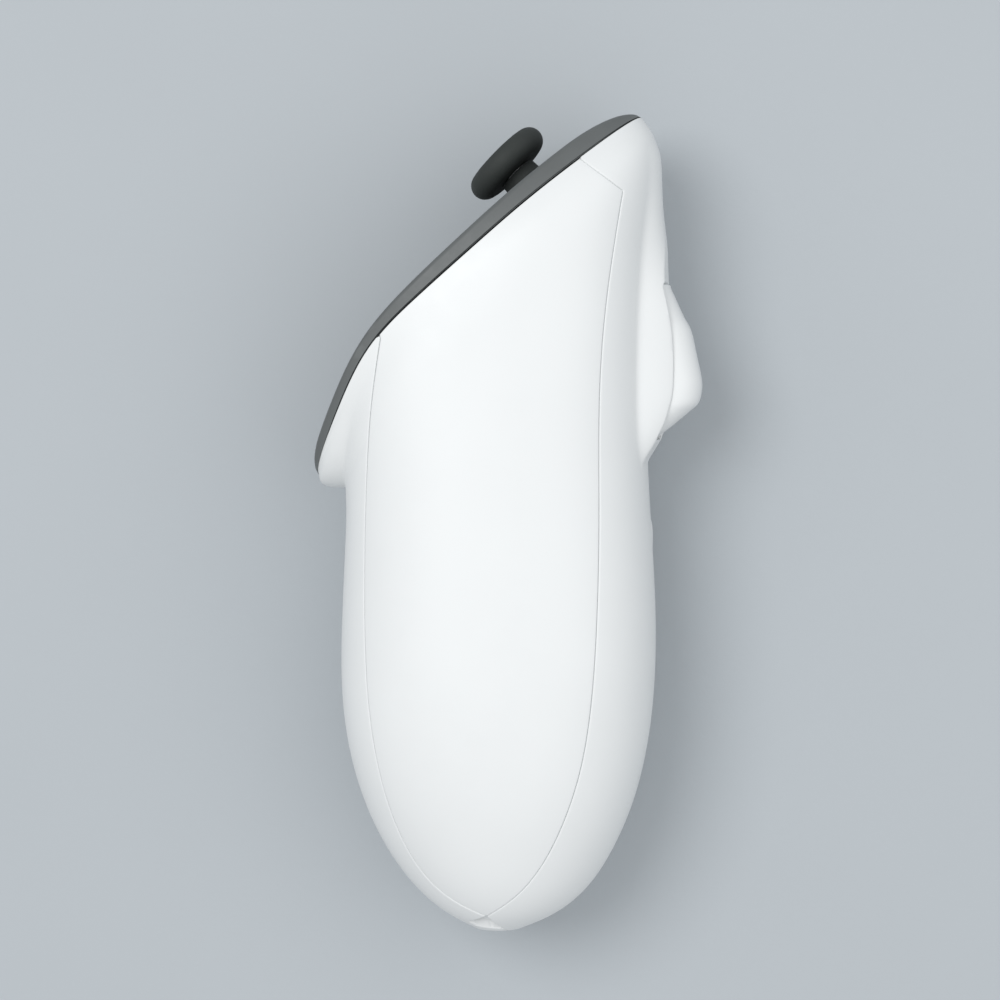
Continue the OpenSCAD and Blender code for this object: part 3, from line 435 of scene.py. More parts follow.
def lathe(profile, segments):
    """Closed form turned about z from (radius, height) pairs that run from axis to axis."""
    profile = np.array(profile, float)
    ring = profile[1:-1]
    points = turned(ring, segments)
    poles = [[0, 0, profile[0, 1]], [0, 0, profile[-1, 1]]]
    faces = flipped(grid_faces(len(ring), segments))
    faces += fan_faces(0, segments, len(points))
    faces += flipped(fan_faces(len(points) - segments, segments, len(points) + 1))
    return np.vstack([points, poles]), faces


def tube(profile, segments):
    """Closed ring turned about z from a closed loop of (radius, height) pairs."""
    profile = np.array(profile, float)
    faces = flipped(grid_faces(len(profile), segments))
    last = (len(profile) - 1) * segments
    for j in range(segments):
        k = (j + 1) % segments
        faces.append([last + k, k, j, last + j])
    return turned(profile, segments), faces


def box_shape(low, high):
    """A block with slightly eased edges."""
    low, high = np.array(low, float), np.array(high, float)
    ease_share = 0.12
    ease = ease_share * min(high - low)
    rings = []
    for z, inset in ((low[2], ease), (low[2] + ease, 0), (high[2] - ease, 0), (high[2], ease)):
        x0, y0, x1, y1 = low[0] + inset, low[1] + inset, high[0] - inset, high[1] - inset
        rings += [[x0, y0, z], [x1, y0, z], [x1, y1, z], [x0, y1, z]]
    faces = flipped(grid_faces(4, 4)) + [[3, 2, 1, 0], [12, 13, 14, 15]]
    return np.array(rings), faces


def arc(centre, radius, start, end, steps):
    """Points of an arc between two angles in degrees."""
    return [
        (centre[0] + radius * math.cos(math.radians(a)), centre[1] + radius * math.sin(math.radians(a)))
        for a in np.linspace(start, end, steps)
    ]


def transformed(points, matrix):
    """Points put through a 4 by 4 matrix."""
    m = np.array(matrix)
    return np.asarray(points) @ m[:3, :3].T + m[:3, 3]


def moved(shape, matrix):
    points, faces = shape
    return transformed(points, matrix), faces


# Frames of the deck under the plate, of the thumbstick's pivot and of the grip key.
SEAT = FORM_ROWS[0]
SEAT_MID, SEAT_HALF, SEAT_ALONG, SEAT_UP = slice_parts(SEAT)


def seat_point(s):
    s = np.asarray(s, float)
    x = (2 * s - 1) * SEAT_HALF
    height = SEAT[CROWN] * profile_at(CROWN_PROFILE, s)
    return SEAT_MID + x[..., None] * SEAT_ALONG + height[..., None] * SEAT_UP


DECK_DIR = np.array([math.cos(DECK_ANGLE), math.sin(DECK_ANGLE)])
DECK_UP = np.array([-math.sin(DECK_ANGLE), math.cos(DECK_ANGLE)])
DECK_AT = seat_point(STICK_PLACE)
DECK = Matrix((
    (DECK_DIR[0], 0, DECK_UP[0], DECK_AT[0]),
    (DECK_DIR[1], 0, DECK_UP[1], DECK_AT[1]),
    (0, -1, 0, MID_Z),
    (0, 0, 0, 1),
))
GIMBAL = DECK @ Matrix.Translation((0, 0, -PIVOT_DEPTH))


def seat_s(x):
    """Share of the plate's length at a place on the deck."""
    return STICK_PLACE + x / (2 * SEAT_HALF)


def seat_z(x):
    """Height of the plate's seat in the deck frame."""
    return float((seat_point(seat_s(x)) - DECK_AT) @ DECK_UP)


def fade(q):
    return PLATE_EDGE + (1 - PLATE_EDGE) * np.sqrt(np.maximum(1 - q * q, 0))


def plate_height(s):
    """Thickness of the plate as a share, thinned to an edge at both ends."""
    s = np.clip(s, 0, 1)
    rear = fade(np.maximum(1 - s / PLATE_REAR_FADE, 0))
    front = fade(np.maximum((s - 1) / PLATE_FRONT_FADE + 1, 0))
    return profile_at(PLATE_PROFILE, s) * rear * front


def plate_top(x):
    """Height of the plate's top in the deck frame."""
    return seat_z(x) + PLATE_T * float(plate_height(seat_s(x)))


def on_deck(x, y):
    """Frame of a place on the deck."""
    return DECK @ Matrix.Translation((x, y, 0))


GRIP_AT = form_points(np.array([GRIP_SLICE]), np.array([-GRIP_TURN]), 0)[0, 0]
GRIP = Matrix.Translation(GRIP_AT.tolist()) @ Matrix.Rotation(GRIP_TILT, 4, "Y")


def add_piece(name, shape, body, slot, replaced, material=None, crease=40):
    """Makes an object of a shape in millimetres, smooth apart from edges sharper than crease."""
    points, faces = shape
    mesh = bpy.data.meshes.new(name)
    mesh.from_pydata((np.asarray(points) * MM).tolist(), [], faces)
    mesh.validate()
    mesh.update()
    mesh.polygons.foreach_set("use_smooth", [True] * len(mesh.polygons))
    mesh.set_sharp_from_angle(angle=math.radians(crease))
    mesh.materials.append(MATERIALS[slot] if material is None else material)
    obj = bpy.data.objects.new(name, mesh)
    bpy.context.scene.collection.objects.link(obj)
    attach(obj, body)
    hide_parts(*replaced)


# Materials: values that all of them share, and the Mix node's colour sockets.
NOISE_ROUGHNESS = 0.55
CLOUD_ENDS = (0.25, 0.75)
GLOSS_FINER = 4
WEAR_SHARE = 0.6
WEAR_ENDS = (0.52, 0.62)
GRAIN_STRENGTH = 0.6
WAVE_STRENGTH = 0.5
WAVE_FINER = 2
MIX_FIRST, MIX_SECOND, MIX_RESULT = 6, 7, 2


def set_inputs(node, values):
    for key, value in values.items():
        node.inputs[key].default_value = value


def noise(tree, place, scale, detail):
    node = tree.nodes.new("ShaderNodeTexNoise")
    set_inputs(node, {"Scale": scale, "Detail": detail, "Roughness": NOISE_ROUGHNESS})
    tree.links.new(place, node.inputs["Vector"])
    return node.outputs["Fac"]


def spread(tree, value, low, high, start=0.3, end=0.7):
    """Maps a value from between start and end to between low and high."""
    node = tree.nodes.new("ShaderNodeMapRange")
    set_inputs(node, {"From Min": start, "From Max": end, "To Min": low, "To Max": high})
    tree.links.new(value, node.inputs["Value"])
    return node.outputs["Result"]


def tint(tree, value, stops):
    """Colours along a value, as (place, colour) stops."""
    node = tree.nodes.new("ShaderNodeValToRGB")
    ramp = node.color_ramp
    while len(ramp.elements) < len(stops):
        ramp.elements.new(0.5)
    for element, (at, colour) in zip(ramp.elements, stops):
        element.position = at
        element.color = (*colour, 1)
    tree.links.new(value, node.inputs["Fac"])
    return node.outputs["Color"]


def scaled(colour, k):
    return tuple(min(c * k, 1) for c in colour)


def mix_colours(tree, share, first, second):
    """Mixes a colour from another node with a fixed second colour."""
    node = tree.nodes.new("ShaderNodeMix")
    node.data_type = "RGBA"
    tree.links.new(share, node.inputs["Factor"])
    tree.links.new(first, node.inputs[MIX_FIRST])
    node.inputs[MIX_SECOND].default_value = (*second, 1)
    return node.outputs[MIX_RESULT]


def bump(tree, height, distance, strength):
    node = tree.nodes.new("ShaderNodeBump")
    set_inputs(node, {"Distance": distance, "Strength": strength})
    tree.links.new(height, node.inputs["Height"])
    return node


def parts_of(material):
    """A material's node tree, its shader and the place on the object."""
    tree = material.node_tree
    return tree, tree.nodes["Principled BSDF"], tree.nodes.new("ShaderNodeTexCoord").outputs["Object"]


def surface(
    name, colour, rough, shade, mottle, grain, grain_height=0.00002, wave_height=0.0, wear=None,
    stretch=(1, 1, 1), **sockets,
):
    """A moulded or drawn surface: clouded colour, uneven gloss, grain and, if worn, paler edges."""
    material = bpy.data.materials.new(name)
    material.use_nodes = True
    tree, bsdf, place = parts_of(material)
    mapping = tree.nodes.new("ShaderNodeMapping")
    mapping.inputs["Scale"].default_value = stretch
    tree.links.new(place, mapping.inputs["Vector"])
    place = mapping.outputs["Vector"]
    ends = (scaled(colour, 1 - shade), scaled(colour, 1 + shade))
    base = tint(tree, noise(tree, place, mottle, detail=4), list(zip(CLOUD_ENDS, ends)))
    if wear:
        edge = tree.nodes.new("ShaderNodeNewGeometry").outputs["Pointiness"]
        base = mix_colours(tree, spread(tree, edge, 0, WEAR_SHARE, *WEAR_ENDS), base, wear)
    tree.links.new(base, bsdf.inputs["Base Color"])
    gloss = spread(tree, noise(tree, place, mottle * GLOSS_FINER, detail=5), *rough)
    tree.links.new(gloss, bsdf.inputs["Roughness"])
    relief = bump(tree, noise(tree, place, grain, detail=2), grain_height, GRAIN_STRENGTH)
    if wave_height:
        wave = bump(tree, noise(tree, place, mottle * WAVE_FINER, detail=1), wave_height, WAVE_STRENGTH)
        tree.links.new(wave.outputs["Normal"], relief.inputs["Normal"])
    tree.links.new(relief.outputs["Normal"], bsdf.inputs["Normal"])
    set_inputs(bsdf, {key.replace("_", " "): value for key, value in sockets.items()})
    return material


def board_material(name, colour):
    """Solder mask over tracks, with paler gaps between them."""
    material = surface(name, colour, (0.3, 0.45), shade=0.12, mottle=160, grain=4000)
    tree, bsdf, place = parts_of(material)
    mapping = tree.nodes.new("ShaderNodeMapping")
    mapping.inputs["Rotation"].default_value = (0, 0, -DECK_ANGLE)
    tree.links.new(place, mapping.inputs["Vector"])
    tracks = tree.nodes.new("ShaderNodeTexBrick")
    set_inputs(tracks, {"Scale": 420, "Mortar Size": 0.06})
    for socket, k in (("Color1", 0.8), ("Color2", 1.25), ("Mortar", 2.2)):
        tracks.inputs[socket].default_value = (*scaled(colour, k), 1)
    tree.links.new(mapping.outputs["Vector"], tracks.inputs["Vector"])
    tree.links.new(tracks.outputs["Color"], bsdf.inputs["Base Color"])
    return material


def cell_material(name, colour, low, high):
    """Plain jacket with bare ends and a dark band, as colours along the cell's length in y."""
    material = surface(name, colour, (0.22, 0.34), shade=0.05, mottle=140, grain=3000, Metallic=0.75)
    tree, bsdf, place = parts_of(material)
    axes = tree.nodes.new("ShaderNodeSeparateXYZ")
    tree.links.new(place, axes.inputs["Vector"])
    along = spread(tree, axes.outputs["Y"], 0, 1, low * MM, high * MM)
    bare, band = (0.62, 0.61, 0.59), (0.035, 0.035, 0.04)
    base = tint(tree, along, [
        (0.0, bare), (0.02, bare), (0.024, band), (0.68, band), (0.684, colour), (0.972, colour),
        (0.976, bare),
    ])
    tree.links.new(base, bsdf.inputs["Base Color"])
    return material


SHELL_WHITE = (0.80, 0.815, 0.815)
MATERIALS = {
    "shell_white": surface(
        "shell_white", SHELL_WHITE, (0.36, 0.46), shade=0.012, mottle=60, grain=3200,
        grain_height=0.000012, wave_height=0.00003, Specular_IOR_Level=0.45,
    ),
    "plate_grey": surface(
        "plate_grey", (0.112, 0.121, 0.121), (0.42, 0.56), shade=0.07, mottle=110, grain=3600,
        grain_height=0.00003, wear=(0.15, 0.161, 0.161),
    ),
    "stick_rubber": surface(
        "stick_rubber", (0.034, 0.039, 0.037), (0.62, 0.8), shade=0.16, mottle=150, grain=2400,
        grain_height=0.00005, Specular_IOR_Level=0.35,
    ),
    "button_grey": surface(
        "button_grey", (0.2, 0.215, 0.215), (0.38, 0.5), shade=0.06, mottle=200, grain=3800,
        wear=(0.27, 0.28, 0.28),
    ),
    "lens_clear": surface(
        "lens_clear", (0.78, 0.84, 0.86), (0.12, 0.3), shade=0.04, mottle=300, grain=2600,
        Transmission_Weight=0.6,
    ),
    "steel": surface(
        "steel", (0.58, 0.59, 0.6), (0.24, 0.4), shade=0.1, mottle=220, grain=3000, Metallic=1.0,
        stretch=(1, 1, 5),
    ),
    "magnet": surface(
        "magnet", (0.55, 0.55, 0.56), (0.14, 0.28), shade=0.08, mottle=260, grain=3600, Metallic=1.0,
    ),
    "gimbal_plastic": surface(
        "gimbal_plastic", (0.33, 0.36, 0.38), (0.45, 0.6), shade=0.08, mottle=160, grain=2800,
        wear=(0.42, 0.45, 0.47),
    ),
    "sensor_green": surface(
        "sensor_green", (0.05, 0.2, 0.13), (0.4, 0.55), shade=0.12, mottle=180, grain=2800,
    ),
    "board_green": board_material("board_green", (0.03, 0.14, 0.07)),
    "chip_black": surface(
        "chip_black", (0.025, 0.025, 0.027), (0.5, 0.65), shade=0.25, mottle=400, grain=4200,
    ),
    "ribbon_amber": surface(
        "ribbon_amber", (0.45, 0.22, 0.05), (0.25, 0.4), shade=0.12, mottle=260, grain=2600,
        stretch=(4, 1, 1),
    ),
    "lead_red": surface(
        "lead_red", (0.4, 0.03, 0.03), (0.4, 0.55), shade=0.1, mottle=300, grain=3000,
    ),
    "tray_dark": surface(
        "tray_dark", (0.09, 0.095, 0.1), (0.46, 0.62), shade=0.1, mottle=120, grain=2600,
        grain_height=0.00003, wear=(0.14, 0.145, 0.15),
    ),
}

# The nodes that keep their solids take the finish of their slot.
NODE_SLOTS = {
    "stick_stem": "steel", "stick_core": "gimbal_plastic", "stick_carrier": "gimbal_plastic",
    "stick_arch": "steel", "gimbal_housing": "gimbal_plastic", "tilt_sensor_a": "sensor_green",
    "tilt_sensor_b": "sensor_green", "stick_spring": "steel", "press_switch": "chip_black",
    "trigger_pin": "steel", "trigger_spring": "steel", "trigger_magnet": "magnet",
    "trigger_sensor": "chip_black", "grip_board": "board_green", "grip_switch": "chip_black",
    "main_board": "board_green", "board_shield": "steel", "board_chips": "chip_black",
    "key_board": "board_green", "key_switches": "chip_black", "key_ribbon": "ribbon_amber",
    "haptic_motor": "steel", "battery_tray": "tray_dark", "contact_plates": "steel",
    "contact_springs": "steel", "battery_leads": "lead_red", "tray_screws": "steel",
    "board_screws": "steel",
}
for node, slot in NODE_SLOTS.items():
    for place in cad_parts[node].material_slots:
        place.material = MATERIALS[slot]


# The three moulded shells: one fine surface of the form, cut along the joins and given a wall.
def join_line(rows):
    last = len(rows) - 1
    return spline(rows, np.linspace(0, last, last * JOIN_STEPS + 1)) + CENTRE


def outward(point):
    return point + CENTRE + REACH_OUT * DECK_UP


front_line, rear_line = join_line(FRONT_JOIN), join_line(REAR_JOIN)
PALM_OUTLINE = np.vstack([
    outward(NOSE_START), NOSE_START + CENTRE, front_line[:-1], rear_line, outward(REAR_JOIN[-1]),
])
front_end = FRONT_LOW + CENTRE
FRONT_OUTLINE = np.vstack([
    outward(NOSE_START), NOSE_START + CENTRE, front_line, front_end,
    front_end + [0, -REACH_OUT], front_end + [2 * REACH_OUT, -REACH_OUT], FAR_CORNER,
])

slice_t = np.linspace(0, LAST_SLICE, SLICES)
sink = np.clip((slice_t - SINK_START) / (LAST_SLICE - SINK_START), 0, 1)
form_angles = ring_angles(AROUND)
form_grid = form_points(slice_t, form_angles, 0)
inner_grid = form_points(slice_t - SINK * sink**2, form_angles, WALL)


def with_pole(grid):
    """Points of a grid, and the middle of its last row."""
    return np.vstack([grid.reshape(-1, 3), grid[-1].mean(axis=0)])


def pole_faces(rows):
    """Faces of a grid of rows round the form, closed at the middle of its last row."""
    return grid_faces(rows, AROUND) + fan_faces((rows - 1) * AROUND, AROUND, rows * AROUND)


FORM = with_pole(form_grid)
FORM_INNER = with_pole(inner_grid)
FORM_FACES = flipped(pole_faces(SLICES))
FORM_NORMALS = point_normals(FORM, FORM_FACES)
steps = np.linalg.norm(np.diff(form_grid, axis=0), axis=-1)
from_seat = np.vstack([np.zeros(AROUND), np.cumsum(steps, axis=0)]).ravel()
from_seat = np.append(from_seat, POLE_FROM_SEAT)

# Distances of the form's points from the cuts, positive where the shell stays.
near_side = FORM[:, 2] > MID_Z
palm_side = polygon_distance(FORM[:, :2], PALM_OUTLINE)
front_side = polygon_distance(FORM[:, :2], FRONT_OUTLINE)
strap_side = np.hypot(FORM[:, 1] - STRAP_AT[1], FORM[:, 2] - MID_Z + STRAP_DROP) - STRAP_OUTER
in_notch = polygon_distance(FORM[:, :2], NOTCH)
notch_side = np.where(FORM[:, 2] > MID_Z + NOTCH_FLOOR, -in_notch, INSIDE)
slot_side = np.where(
    FORM[:, 0] > SLOT_FROM_X + CENTRE[0],
    box_distance(
        FORM[:, 1] - CENTRE[1] - (SLOT_LOW + SLOT_HIGH) / 2, FORM[:, 2] - MID_Z,
        (SLOT_HIGH - SLOT_LOW) / 2, SLOT_HALF, SLOT_CORNER,
    ),
    INSIDE,
)
grip_local = (FORM - GRIP_AT) @ np.array(GRIP)[:3, :3]
grip_round = GRIP_W / 2 + GRIP_GAP
grip_side = np.where(
    (grip_local[:, 0] > GRIP_DEPTH[0]) & (grip_local[:, 0] < GRIP_DEPTH[1]),
    box_distance(grip_local[:, 1], grip_local[:, 2], GRIP_L / 2 + GRIP_GAP, grip_round, grip_round),
    INSIDE,
)


def shell(value, rebate=False):
    """A panel of the form where value is positive, with a rounded rim and a wall behind it."""
    levels = SEAM_LEVELS + ([LIP_WIDTH, LIP_WIDTH + LIP_STEP] if rebate else [])
    data = np.hstack([FORM, FORM_INNER, FORM_NORMALS])
    data, value, faces = compact(*cut(data, value, FORM_FACES, levels))
    points, inner, normals = data[:, :3], data[:, 3:6], data[:, 6:]
    if rebate:
        thin = (value <= LIP_WIDTH) & (data[:, 2] > MID_Z)
        inner = np.where(thin[:, None], points - (LIP_DEPTH - LIP_GAP) * normals, inner)
    points = points - round_drop(value, SEAM_ROUND)[:, None] * normals
    return close_shell(points, inner, faces)


def tongue(value):
    """A strip under the join that the palm cover's thin rim lies over."""
    data = np.hstack([FORM, FORM_NORMALS])
    band = np.minimum(value - TONGUE_LOW, TONGUE_HIGH - value)
    data, _, faces = compact(*cut(data, band, FORM_FACES, [0]))
    points, normals = data[:, :3], data[:, 3:]
    return close_shell(points - LIP_DEPTH * normals, points - TONGUE_DEEP * normals, faces)


def notch_pocket():
    """Floor of the opening notch, as a block that reaches under the walls round it."""
    middle = NOTCH.mean(axis=0)
    outline = middle + NOTCH_GROW * (NOTCH - middle)
    top = MID_Z + NOTCH_FLOOR
    count = len(outline)
    points = np.vstack([np.column_stack([outline, np.full(count, z)]) for z in (top - NOTCH_T, top)])
    faces = flipped(grid_faces(2, count))
    faces += [list(reversed(range(count))), list(range(count, 2 * count))]
    return points, faces


palm_value = np.where(near_side, palm_side - SEAM_GAP, PALM_FAR_SIDE)
palm_value = np.minimum(palm_value, from_seat - SEAT_GAP)
front_value = np.minimum.reduce([front_side, slot_side, grip_side, strap_side, from_seat])
far_value = np.minimum.reduce([
    -front_side, np.where(near_side, -palm_side, INSIDE), grip_side, strap_side, notch_side, from_seat,
])
tongue_side = np.where(near_side & (from_seat > TONGUE_START), palm_side, OUTSIDE)

add_piece("palm_cover_skin", shell(palm_value, rebate=True), "cover", "shell_white", ["palm_cover"])
add_piece("front_shell_skin", shell(front_value), "controller", "shell_white", ["front_shell"])
far_parts = join_shapes(shell(far_value), tongue(tongue_side), notch_pocket())
add_piece("far_shell_skin", far_parts, "controller", "shell_white", ["far_shell"])


# Control plate: rounded rim, dish round the stick and openings with eased edges.
def plate_points(angle, radius, height):
    x = radius * np.cos(angle)
    lift = PLATE_GAP + height * plate_height((x + SEAT_HALF) / (2 * SEAT_HALF))
    return slice_points(SEAT, radius, angle, lift)


def plate_shape():
    edge = slice_radius(SEAT, SEAT_HALF, form_angles)
    layers = PLATE_FOOT + [
        (PLATE_SIDE + PLATE_ROUND * (1 - math.cos(a)), PLATE_T - PLATE_ROUND * (1 - math.sin(a)))
        for a in np.radians(np.linspace(0, 90, 9))
    ]
    top_edge = edge - layers[-1][0]
    shares = np.linspace(1, 0.01, PLATE_RINGS)[1:]
    radii = [edge - inset for inset, _ in layers] + [top_edge * q for q in shares]
    heights = [height for _, height in layers] + [PLATE_T] * len(shares)
    outer = np.stack([plate_points(form_angles, r, h) for r, h in zip(radii, heights)])
    inner = np.stack([plate_points(form_angles, r, 0.0) for r in radii])
    faces = pole_faces(len(radii))

    place = transformed(with_pole(outer), DECK.inverted())
    under = transformed(with_pole(inner), DECK.inverted())
    r = np.hypot(place[:, 0], place[:, 1])
    dish = DISH_HEIGHT + np.maximum(r - DISH_R, 0)
    dome = np.sqrt(np.maximum((BOOT_R + BOOT_ROOM) ** 2 - r**2, 0)) - PIVOT_DEPTH
    place[:, 2] = -joined(-place[:, 2], -dish, DISH_BLEND)
    under[:, 2] = np.maximum(under[:, 2], dome)
    outer, inner = transformed(place, DECK), transformed(under, DECK)

    holes = [(0.0, 0.0, STICK_HOLE_R), (LENS[0], LENS[1], LENS[2] + LENS_GAP)]
    holes += [(x, y, radius + KEY_GAP) for _, (x, y, radius) in KEYS.values()]
    value = np.minimum.reduce([np.hypot(place[:, 0] - x, place[:, 1] - y) - h for x, y, h in holes])
    data = np.hstack([outer, inner, point_normals(outer, faces)])
    data, value, faces = compact(*cut(data, value, faces, HOLE_LEVELS))
    points = data[:, :3] - round_drop(value, HOLE_EASE)[:, None] * data[:, 6:]
    return close_shell(points, data[:, 3:6], faces)


def post_shape(x, y, foot):
    """Screw post under the plate, with its pilot bore."""
    outer, bore, depth, ease, overlap, roof = 1.7, 1.0, 5.0, 0.15, 0.3, 0.4
    top = seat_z(x) + overlap
    top_of_bore = min(foot + depth, top - roof)
    profile = [
        (0, top_of_bore), (bore, top_of_bore), (bore, foot), (outer - ease, foot),
        (outer, foot + ease), (outer, top), (0, top),
    ]
    return moved(lathe(profile, 40), on_deck(x, y))


posts = [post_shape(x, y, MAIN_BOARD_TOP) for x, y in MAIN_POSTS]
posts += [post_shape(x, y, KEY_BOARD_TOP) for x, y in KEY_POSTS]
plate_parts = join_shapes(plate_shape(), *posts)
add_piece("control_plate", plate_parts, "controller", "plate_grey", ["face_plate"])


# Thumbstick: dished cap with a rolled rim, and the domed boot with its collar.
def cap_shape():
    rim, rim_end = CAP_T / 2, 62
    bore_top, mouth_r, mouth_ease = -rim + 1.6, STEM_R + 0.15, 0.1
    dish_depth, dish_edge = 0.6, CAP_R - rim
    ring_r, ring_width, ring_height, ring_start = 3.9, 0.28, 0.16, 0.05
    profile = [
        (0, bore_top), (STEM_HOLE_R, bore_top), (STEM_HOLE_R, -rim + mouth_ease), (mouth_r, -rim),
    ]
    profile += arc((dish_edge, 0), rim, -90, rim_end, 26)
    edge_r, edge_z = profile[-1]
    for q in np.linspace(0, 1, 22)[1:-1]:
        r = edge_r * (1 - q)
        dish = rim - dish_depth + dish_depth * (r / dish_edge) ** 2
        ring = ring_height * math.exp(-(((r - ring_r) / ring_width) ** 2))
        profile.append((r, min(dish, edge_z) + ring * (q > ring_start)))
    profile.append((0, rim - dish_depth))
    return moved(lathe(profile, 128), GIMBAL @ Matrix.Translation((0, 0, CAP_REACH)))


def boot_shape():
    thick, span, neck_r, cap_gap = 0.6, 62, 3.7, 0.2
    inner_r = BOOT_R - thick
    high = CAP_REACH - CAP_T / 2 - cap_gap
    foot = math.degrees(math.asin(neck_r / BOOT_R))
    outside = arc((0, 0), BOOT_R, 90 - span, 90 - foot, 30)
    neck = [
        (3.45, BOOT_R - 0.6), (3.3, BOOT_R - 0.1), (3.2, BOOT_R + 0.6), (3.1, high - 0.3), (2.95, high),
    ]
    bore = [(STEM_HOLE_R, high), (STEM_HOLE_R, math.sqrt(inner_r**2 - STEM_HOLE_R**2))]
    lip = math.degrees(math.asin(STEM_HOLE_R / inner_r))
    inside = arc((0, 0), inner_r, 90 - lip, 90 - span, 30)[1:]
    return moved(tube(outside + neck + bore + inside, 112), GIMBAL)


add_piece("stick_cap_rubber", cap_shape(), "stick", "stick_rubber", ["stick_cap"])
add_piece("stick_boot_rubber", boot_shape(), "stick", "stick_rubber", ["stick_boot"])


# Keys and the light pipe.
def key_shape(x, y, r):
    """Crowned key, with a flange under the plate and a plunger down to its switch."""
    foot, plunger, ease, edge, crown = -1.7, 1.2, 0.15, 0.45, 0.18
    flange_drop, flange_t, flange_w = 0.7, 0.8, 0.7
    flange_top = seat_z(x) - flange_drop
    flange_low, flange_r = flange_top - flange_t, r + flange_w
    top = plate_top(x) + KEY_RISE
    profile = [
        (0, foot), (plunger - ease, foot), (plunger, foot + ease), (plunger, flange_low),
        (flange_r, flange_low), (flange_r, flange_top), (r, flange_top),
    ]
    profile += arc((r - edge, top - crown - edge), edge, 0, 80, 10)
    edge_r, edge_z = profile[-1]
    for q in np.linspace(0, 1, 10)[1:-1]:
        ring = edge_r * (1 - q)
        profile.append((ring, edge_z + (top - edge_z) * (1 - (ring / edge_r) ** 2)))
    profile.append((0, top))
    return moved(lathe(profile, 96), on_deck(x, y))


for node, (body, place) in KEYS.items():
    add_piece(node + "_cap", key_shape(*place), body, "button_grey", [node])


def lens_shape():
    x, y, r = LENS
    above_board, below_top, ease, shoulder = 0.8, 0.2, 0.25, 0.3
    foot, top = KEY_BOARD_TOP + above_board, plate_top(x) - below_top
    profile = [(0, foot), (r, foot)] + arc((r - ease, top - shoulder), ease, 0, 75, 6)
    profile += [(0.4, top - 0.02), (0, top)]
    return moved(lathe(profile, 40), on_deck(x, y))


add_piece("light_pipe_lens", lens_shape(), "controller", "lens_clear", ["light_pipe"])


# Trigger: smooth blade across its width, its boss and the magnet's arm.
def through(points, steps):
    """Smooth line through points."""
    p = np.vstack([2 * points[0] - points[1], points, 2 * points[-1] - points[-2]])
    line = []
    for i in range(1, len(p) - 2):
        for u in np.linspace(0, 1, steps, endpoint=False):
            line.append(
                p[i] + 0.5 * u * (p[i + 1] - p[i - 1] + u * (
                    2 * p[i - 1] - 5 * p[i] + 4 * p[i + 1] - p[i + 2]
                    + u * (3 * (p[i] - p[i + 1]) + p[i + 2] - p[i - 1])
                ))
            )
    return np.vstack([line, points[-1]])


def blade_shape():
    """Blade in layers across its width, each set back at the front by the crown."""
    front = through(TRIGGER_FRONT, 5) + CENTRE
    back = through(TRIGGER_BACK, 4) + CENTRE
    edge = [
        (TRIGGER_HALF - TRIGGER_ROUND * (1 - math.sin(a)), TRIGGER_CROWN * (1 - math.cos(a)))
        for a in np.radians(np.linspace(0, 90, 12))
    ]
    layers = [(-w, i) for w, i in reversed(edge)] + edge
    outline = len(front) + len(back)
    rings = []
    for w, inset in layers:
        ring = np.vstack([front - [inset, 0], back])
        rings.append(np.column_stack([ring, np.full(outline, MID_Z + w)]))
    top = (len(layers) - 1) * outline
    faces = grid_faces(len(layers), outline)
    faces += [list(reversed(range(outline))), list(range(top, top + outline))]
    return np.vstack(rings), faces


def boss_shape():
    r, bore, ease = TRIGGER_BOSS_R, 1.05, 0.2
    low, high = -TRIGGER_HALF + 0.1, TRIGGER_HALF - 3.6
    profile = [
        (bore, low), (r - ease, low), (r, low + ease), (r, high - ease), (r - ease, high), (bore, high),
    ]
    return moved(tube(profile, 56), Matrix.Translation((*TRIGGER_PIVOT, MID_Z)))


ARM_AT = DECK_AT + TRIGGER_ARM[0] * DECK_DIR + TRIGGER_ARM[1] * DECK_UP


def arm_shape():
    """Arm from the boss to the magnet's holder."""
    start, half, short = 1.6, 1.4, 0.95
    reach = ARM_AT - TRIGGER_PIVOT
    length = np.linalg.norm(reach)
    turn = Matrix.Rotation(math.atan2(reach[1], reach[0]), 4, "Z")
    return moved(
        box_shape((start, -half, -HOLDER_HALF), (length - short, half, HOLDER_HALF)),
        Matrix.Translation((*TRIGGER_PIVOT, MID_Z)) @ turn,
    )


def magnet_holder():
    bore, outer, ease, half = 0.9, 1.6, 0.1, HOLDER_HALF
    profile = [
        (bore, -half), (outer - ease, -half), (outer, -half + ease), (outer, half - ease),
        (outer - ease, half), (bore, half),
    ]
    return moved(tube(profile, 40), Matrix.Translation((*ARM_AT, MID_Z)))


trigger_parts = join_shapes(blade_shape(), boss_shape(), arm_shape(), magnet_holder())
add_piece("trigger_lever", trigger_parts, "trigger_blade", "shell_white", ["trigger"], crease=50)


# Grip key: crowned stadium with an eased edge, its flange and plunger.
def stadium(grow, count):
    straight = (GRIP_L - GRIP_W) / 2
    r = GRIP_W / 2 + grow
    off_axis = 1e-6
    a = np.linspace(0, 2 * np.pi, count, endpoint=False) + off_axis
    return np.column_stack([r * np.sin(a) + np.sign(np.sin(a)) * straight, r * np.cos(a)])


